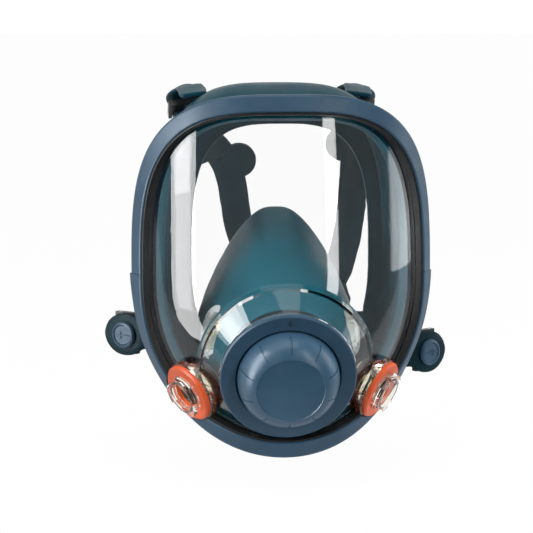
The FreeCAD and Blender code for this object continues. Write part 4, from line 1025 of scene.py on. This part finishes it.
@dataclass
class Strap:
    """Rubber strap from its hanging tail round the roller of its buckle to the crown pad."""

    level: Level
    side: Side
    width: float = 19.5
    height: float = 2.2
    clearance: float = 0.35
    roller_offset: float = 8.7
    roller_radius: float = 2.4
    buckle_drop: float = 6.9
    pad: CrownPad = CrownPad()
    lean: float = 21.0
    grip_half_length: float = 13.0
    grip_reach: float = 10.5
    corner: float = 0.5
    tooth_depth: float = 0.3
    upper_steps: int = 24
    lower_steps: int = 10
    lower_yaw: float = 36.0
    lower_place: tuple[float, float, float] = (96.0, -34.0, -46.0)
    lower_stagger: float = 7.0
    upper_fall: float = 34.0
    upper_roll: float = 12.0
    upper_place: tuple[float, float, float] = (55.0, 17.0, 108.5)

    @property
    def name(self) -> str:
        """Name of the strap's CAD node."""
        return f"{self.level.value}_{self.side.name.lower()}_strap"

    def anchor(self) -> Matrix:
        """Place of the strap's anchor: local Z out of the ear and local Y along the strap's run."""
        side = self.side.value
        if self.level is Level.LOWER:
            yaw = math.radians(self.lower_yaw)
            x, y, z = self.lower_place
            run = Vector((side * math.cos(yaw), math.sin(yaw), 0))
            out = Vector((side * math.sin(yaw), -math.cos(yaw), 0))
            return basis(Vector((side * x, y, z - side * self.lower_stagger)), run.cross(out), run)
        fall = math.radians(self.upper_fall)
        roll = math.radians(self.upper_roll)
        x, y, z = self.upper_place
        run = Vector((0, math.cos(fall), -math.sin(fall)))
        out = Vector((math.cos(roll), 0, -side * math.sin(roll))).cross(run).normalized()
        return basis(Vector((side * x, y, z)), run.cross(out), run)

    def centre_line(self) -> list[Vector]:
        """Points that the strap's centre passes through, in millimetres."""
        place = self.anchor()
        base = place.translation
        side = self.side.value
        pad = self.pad
        turn = self.roller_radius + self.clearance + self.height / 2
        loop = [Vector((0, self.roller_offset - turn, -self.buckle_drop - 5))]
        for degrees in (180, 135, 90, 45, 0):
            turned = math.radians(degrees)
            loop.append(Vector((0, self.roller_offset + turn * math.cos(turned),
                                -self.buckle_drop + turn * math.sin(turned))))
        loop.append(Vector((0, self.roller_offset + turn, -self.buckle_drop - 4)))
        loop = [place @ point for point in loop]
        pad_top = pad.middle_z + pad.height / 2
        if self.level is Level.UPPER:
            tail = [Vector((side * 48.6 + 8.1, 12, 56.5 - side * 9.5)), Vector((side * 53 + 6, 11, 84))]
            run = [
                self.grip_point(),
                Vector((side * 38 + self.lean * 0.95, pad.back_y - 9.5, 18)),
                Vector((side * 31 + self.lean, pad.back_y - 6.5, -10)),
                Vector((side * 30 + self.lean * 0.8, pad.back_y - 5.5, pad_top - 8)),
            ]
        else:
            tail = [Vector((side * 78, 7, base.z)), Vector((side * 84, -9, base.z))]
            run = [
                Vector((side * 90, -1, base.z * 0.8 + pad.middle_z * 0.2)),
                Vector((side * 84 + pad.sway * 0.2, 20, base.z * 0.5 + pad.middle_z * 0.5)),
                Vector((side * 70 + pad.sway * 0.6, 46, pad.middle_z - 4)),
                Vector((side * (pad.width / 2 + 3.4) + pad.sway,
                        pad.back_y - pad.wrap - 1.6, pad.middle_z - 6)),
            ]
        return tail + loop + run

    def grip_point(self) -> Vector:
        """Place on the run of an upper strap beside which its grip stands out, in millimetres."""
        side = self.side.value
        return Vector((side * 43.5 + self.lean * 0.75, 45, 67 + side * 5.5))

    def grip(self, line: list[Vector], across: Vector) -> None:
        """Make the half-oval grip on the inner edge of an upper strap.

        Args:
            line: centre line of the strap.
            across: direction across the strap at its anchor.
        """
        index = min(range(1, len(line) - 1), key=lambda i: (line[i] - self.grip_point()).length)
        along = (line[index + 1] - line[index - 1]).normalized()
        wide = (across - along * across.dot(along)).normalized()
        inner = wide * (-self.side.value if wide.x > 0 else self.side.value)
        out = inner.cross(along).normalized()
        centre = line[index] + inner * (self.width / 2 - 1)
        bm = bmesh.new()
        bmesh.ops.create_circle(bm, cap_ends=True, segments=64, radius=1.0)
        reach = self.grip_reach + 1
        stretch = Matrix((inner * reach, along * self.grip_half_length, out)).transposed().to_4x4()
        bmesh.ops.transform(bm, matrix=stretch, verts=bm.verts)
        bmesh.ops.translate(bm, vec=centre - out * (self.height / 2), verts=bm.verts)
        bmesh.ops.solidify(bm, geom=bm.faces[:], thickness=self.height * 1.15)
        bmesh.ops.recalc_face_normals(bm, faces=bm.faces)
        bmesh.ops.scale(bm, vec=(MM, MM, MM), verts=bm.verts)
        finished(f"grip_{self.side.name.lower()}", bm, "strap_rubber", crease=30)

    def build(self) -> None:
        """Make the strap with its fine grip teeth."""
        across = self.anchor().to_3x3() @ Vector((1, 0, 0))
        upper = self.level is Level.UPPER
        line = smooth_line(self.centre_line(), self.upper_steps if upper else self.lower_steps)
        toothed = len(line) - 2 * self.upper_steps if upper else 0
        rings = []
        for i, (centre, wide, lift) in enumerate(ribbon(line, across)):
            thick = self.height / 2 - (self.tooth_depth if i > toothed > 0 and i % 2 else 0.0)
            corners = band_corners(self.width / 2, thick, self.corner, thick - self.corner)
            rings.append([(centre + wide * a + lift * b) * MM for a, b in corners])
        piece = finished(f"dressed_{self.name}", lofted(rings, capped=True), "strap_rubber", crease=50)
        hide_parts(self.name)
        if upper:
            self.grip(line, across)


@dataclass
class Ear:
    """Silicone tab of the face seal that carries a strap's stud."""

    strap: Strap
    half_width: float = 13.4
    tip: float = 15.5
    heel: float = 16.0
    neck: float = 8.5
    wall: float = 3.0
    corner: float = 0.9
    edge_share: float = 0.4
    least_half: float = 0.4
    relief_height: float = 0.3

    def build(self) -> None:
        """Make the tab as a leaf with a round end."""
        place = self.strap.anchor()
        side = self.strap.side.value
        centre = place.translation.copy()
        run = place.to_3x3() @ Vector((0, 1, 0))
        across = place.to_3x3() @ Vector((1, 0, 0))
        tip = centre + run * (self.tip - 0.05)
        if self.strap.level is Level.UPPER:
            root = Vector((centre.x - side * 3, -26, 110.5))
            middle = Vector((centre.x - side, 1, 114.5))
            tip.z -= 1.2
        else:
            power = SEAL_OUTLINE.chin_power
            fall = (abs(centre.z) / SEAL_OUTLINE.bottom) ** power
            skirt = SEAL_OUTLINE.half_width * (1 - fall) ** (1 / power)
            root = Vector((side * (skirt - 6), centre.y - 4, centre.z))
            middle = Vector((side * (skirt + centre.x * side) / 2, centre.y - 6.5, centre.z))
        line = smooth_line([root, middle, centre, tip], 12)
        rings = []
        for point, wide, lift in ribbon(line, across):
            past = (point - centre).dot(run)
            length = self.tip if past > 0 else self.heel
            share = min(abs(past) / length, 1.0)
            leaf = self.half_width * math.sqrt(max(1 - share * share, 0.0))
            half = max(leaf, self.neck if past < 0 else self.least_half)
            thick = self.wall / 2
            corners = band_corners(half, thick, min(self.corner, half * 0.5), thick * self.edge_share)
            rings.append([(point + wide * a + lift * b) * MM for a, b in corners])
        name = f"ear_{self.strap.level.value}_{self.strap.side.name.lower()}"
        finish = "green_silicone" if self.strap.level is Level.UPPER else "strap_rubber"
        finished(name, lofted(rings, capped=True), finish, crease=60, level=1)
        if self.strap.level is Level.LOWER:
            self.relief(place)

    def relief(self, place: Matrix) -> None:
        """Make the fine raised bars on the face of the stud's head.

        Args:
            place: matrix from the anchor to the mask, in millimetres.
        """
        node = f"lower_{self.strap.side.name.lower()}_stud"
        out = place.to_3x3() @ Vector((0, 0, 1))
        centre = place.translation * MM
        highest = max((vertex.co - centre).dot(out) for vertex in frame["nodes"][node].data.vertices)
        bm = bmesh.new()
        for width, length, shift in ((0.5, 11.0, 0.0), (4.5, 0.5, 1.5)):
            size = Matrix.Diagonal((width * MM, length * MM, self.relief_height * MM, 1))
            middle = Matrix.Translation(Vector((0, shift * MM, highest)))
            spot = place.to_3x3().to_4x4()
            spot.translation = centre
            bmesh.ops.create_cube(bm, size=1.0, matrix=spot @ middle @ size)
        finished(f"relief_{self.strap.side.name.lower()}", bm, "slate_plastic", crease=20)


# dressing of the moulded parts


class MouldedParts:
    """The rigid parts, which keep their CAD shapes and get their finishes here."""

    def dress(self) -> None:
        """Give every CAD node the finish of its record slot, or its own one."""
        slots = {row["node"]: row["material_slot"] for row in frame["record"]["subparts"]}
        for node, part in frame["nodes"].items():
            finish = NODE_FINISHES.get(node, slots[node])
            part.data.materials.clear()
            part.data.materials.append(PALETTE[finish])
            log.info("%s: %s", node, finish)


# studio


@dataclass(frozen=True)
class Stand:
    """Upright rectangle turned towards the mask; angles in degrees, sizes and distance in metres."""

    name: str
    azimuth: float
    elevation: float
    distance: float
    width: float
    height: float
    power: float


@dataclass(frozen=True)
class Softbox(Stand):
    """Area light."""

    def build(self, target: Vector) -> None:
        """Place the light."""
        back = seen_from(self.azimuth, self.elevation)
        lamp = bpy.data.lights.new(self.name, "AREA")
        lamp.shape = "RECTANGLE"
        lamp.size = self.width
        lamp.size_y = self.height
        lamp.energy = self.power
        holder = placed(self.name, lamp)
        holder.matrix_world = Matrix.Translation(target + back * self.distance) @ (
            back.to_track_quat("Z", "Y").to_matrix().to_4x4())


@dataclass(frozen=True)
class Reflector(Stand):
    """Glowing white panel that only shows in reflections."""

    def build(self, target: Vector) -> None:
        """Place the panel, turned towards the mask."""
        back = seen_from(self.azimuth, self.elevation)
        place = facing(target + back * self.distance, back)
        bm = bmesh.new()
        size = Matrix.Diagonal((self.width, self.height, 1, 1))
        bmesh.ops.create_grid(bm, x_segments=1, y_segments=1, size=0.5, matrix=place @ size)
        mesh = mesh_of(self.name, bm)
        panel = placed(self.name, mesh)
        material, tree = new_material(self.name)
        glow = tree.nodes.new("ShaderNodeEmission")
        glow.inputs["Strength"].default_value = self.power
        link(tree, glow.outputs[0], tree.nodes["Material Output"].inputs["Surface"])
        mesh.materials.append(material)
        for ray in ("camera", "diffuse", "transmission", "shadow"):
            setattr(panel, f"visible_{ray}", False)


@dataclass
class Studio:
    """Pale floor, soft lights, white surroundings and the camera."""

    azimuth: float = -4.7
    elevation: float = 8.0
    distance: float = 1.1
    lens: float = 122.0
    shift_left: float = 0.0102
    shift_up: float = 0.0044
    floor_drop: float = 0.02
    floor_size: float = 12.0
    floor_front: float = 0.04
    room: float = 0.01
    fill: float = 0.38
    under: float = 0.04
    floor_tone: float = 0.6
    floor_roughness: float = 0.9
    floor_glow: float = 1.03
    floor_glow_share: float = 0.94
    softboxes: tuple[Softbox, ...] = (
        Softbox("left_strip", -65, 12, 0.9, 0.22, 0.9, 4.2),
        Softbox("right_strip", 32, 10, 0.95, 0.12, 0.9, 3.4),
        Softbox("side_window", 92, 12, 1.0, 0.5, 0.6, 3.0),
        Softbox("overhead", -8, 68, 1.1, 0.9, 0.7, 5.0),
    )
    reflectors: tuple[Reflector, ...] = (Reflector("left_panel", -64, 6, 0.9, 0.34, 1.1, 16.0),)

    def target(self) -> Vector:
        """Middle of the frame's outline."""
        upper_low, upper_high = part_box("upper_frame")
        lower_low, lower_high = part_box("lower_frame")
        low = Vector(map(min, upper_low, lower_low))
        high = Vector(map(max, upper_high, lower_high))
        return (low + high) / 2

    def camera(self) -> None:
        """Make the camera."""
        target = self.target()
        back = seen_from(self.azimuth, self.elevation)
        right = Vector((0, 0, 1)).cross(back).normalized()
        up = back.cross(right)
        aim = target - right * self.shift_left + up * self.shift_up
        data = bpy.data.cameras.new("camera")
        data.lens = self.lens
        data.sensor_width = 36.0
        data.clip_start = 0.05
        holder = placed("camera", data)
        holder.location = aim + back * self.distance
        holder.rotation_mode = "QUATERNION"
        holder.rotation_quaternion = (-back).to_track_quat("-Z", "Y")
        bpy.context.scene.camera = holder

    def floor(self) -> None:
        """Make the pale floor under and behind the mask, which keeps a faint shadow."""
        bm = bmesh.new()
        bmesh.ops.create_grid(bm, x_segments=1, y_segments=1, size=self.floor_size)
        front = cad_low.y - self.floor_front
        bmesh.ops.translate(bm, vec=(0, front + self.floor_size, cad_low.z - self.floor_drop), verts=bm.verts)
        mesh = mesh_of("floor", bm)
        floor = placed("floor", mesh)
        material, tree = new_material("pale_floor")
        matt = tree.nodes["Principled BSDF"]
        matt.inputs["Base Color"].default_value = (*[self.floor_tone] * 3, 1)
        matt.inputs["Roughness"].default_value = self.floor_roughness
        glow = tree.nodes.new("ShaderNodeEmission")
        rays = tree.nodes.new("ShaderNodeLightPath")
        glow.inputs["Strength"].default_value = self.floor_glow
        seen = math_node(tree, "MAXIMUM", rays.outputs["Is Camera Ray"], rays.outputs["Is Transmission Ray"])
        seen = math_node(tree, "MAXIMUM", seen, rays.outputs["Is Glossy Ray"])
        direct = math_node(tree, "LESS_THAN", rays.outputs["Diffuse Depth"], 0.5)
        seen = math_node(tree, "MULTIPLY", seen, direct)
        share = math_node(tree, "MULTIPLY", seen, self.floor_glow_share)
        show_mixed(tree, share, matt.outputs[0], glow.outputs[0])
        mesh.materials.append(material)

    def surroundings(self) -> None:
        """Make the world: a white backdrop behind the mask, and a dim room in front of it as it reflects."""
        world = bpy.data.worlds.new("studio")
        world.use_nodes = True
        tree = world.node_tree
        backdrop = tree.nodes["Background"]
        backdrop.inputs["Color"].default_value = (1, 1, 1, 1)
        rays = tree.nodes.new("ShaderNodeLightPath")
        direction = tree.nodes.new("ShaderNodeSeparateXYZ")
        link(tree, tree.nodes.new("ShaderNodeTexCoord").outputs["Generated"], direction.inputs[0])
        behind = remap(tree, direction.outputs["Y"], 0.0, 0.25, self.room, 1.0)
        direct = math_node(tree, "LESS_THAN", rays.outputs["Diffuse Depth"], 0.5)
        mirrored = math_node(tree, "MULTIPLY", rays.outputs["Is Glossy Ray"], direct)
        above = remap(tree, direction.outputs["Z"], -0.4, 0.6, self.under, self.fill)
        matt = math_node(tree, "MULTIPLY", remap(tree, direct, 0, 1, 1, 0), above)
        through = math_node(tree, "MULTIPLY", rays.outputs["Is Transmission Ray"], direct)
        seen = math_node(tree, "MAXIMUM", rays.outputs["Is Camera Ray"], through)
        plain = math_node(tree, "MAXIMUM", seen, matt)
        strength = math_node(tree, "MAXIMUM", plain, math_node(tree, "MULTIPLY", mirrored, behind))
        link(tree, strength, backdrop.inputs["Strength"])
        bpy.context.scene.world = world

    def build(self) -> None:
        """Set up the whole studio."""
        self.camera()
        self.floor()
        self.surroundings()
        target = self.target()
        for piece in (*self.softboxes, *self.reflectors):
            piece.build(target)
        bpy.context.scene.view_settings.view_transform = "Standard"


def main() -> None:
    """Build the mask's dressing piece by piece."""
    moulded_surface()
    polished_surface()
    for finish in FINISHES:
        PALETTE[finish.name] = finish.build()
    MouldedParts().dress()
    FaceSeal().build()
    valves = [
        facing(
            Vector((side.value * CUP_VALVE_X, CUP_VALVE_Y, CUP_VALVE_Z)),
            heading(CUP_VALVE_YAW, CUP_VALVE_RISE, side.value),
        )
        for side in Side
    ]
    unit_axis = heading(0, UNIT_RISE, 1)
    NoseCup(UNIT_ORIGIN, unit_axis).build(valves)
    FrontUnit(UNIT_ORIGIN, unit_axis).build()
    for level in Level:
        for side in Side:
            strap = Strap(level, side)
            strap.build()
            Ear(strap).build()
    CrownPad().build()
    Studio().build()


if __name__ == "__main__":
    main()
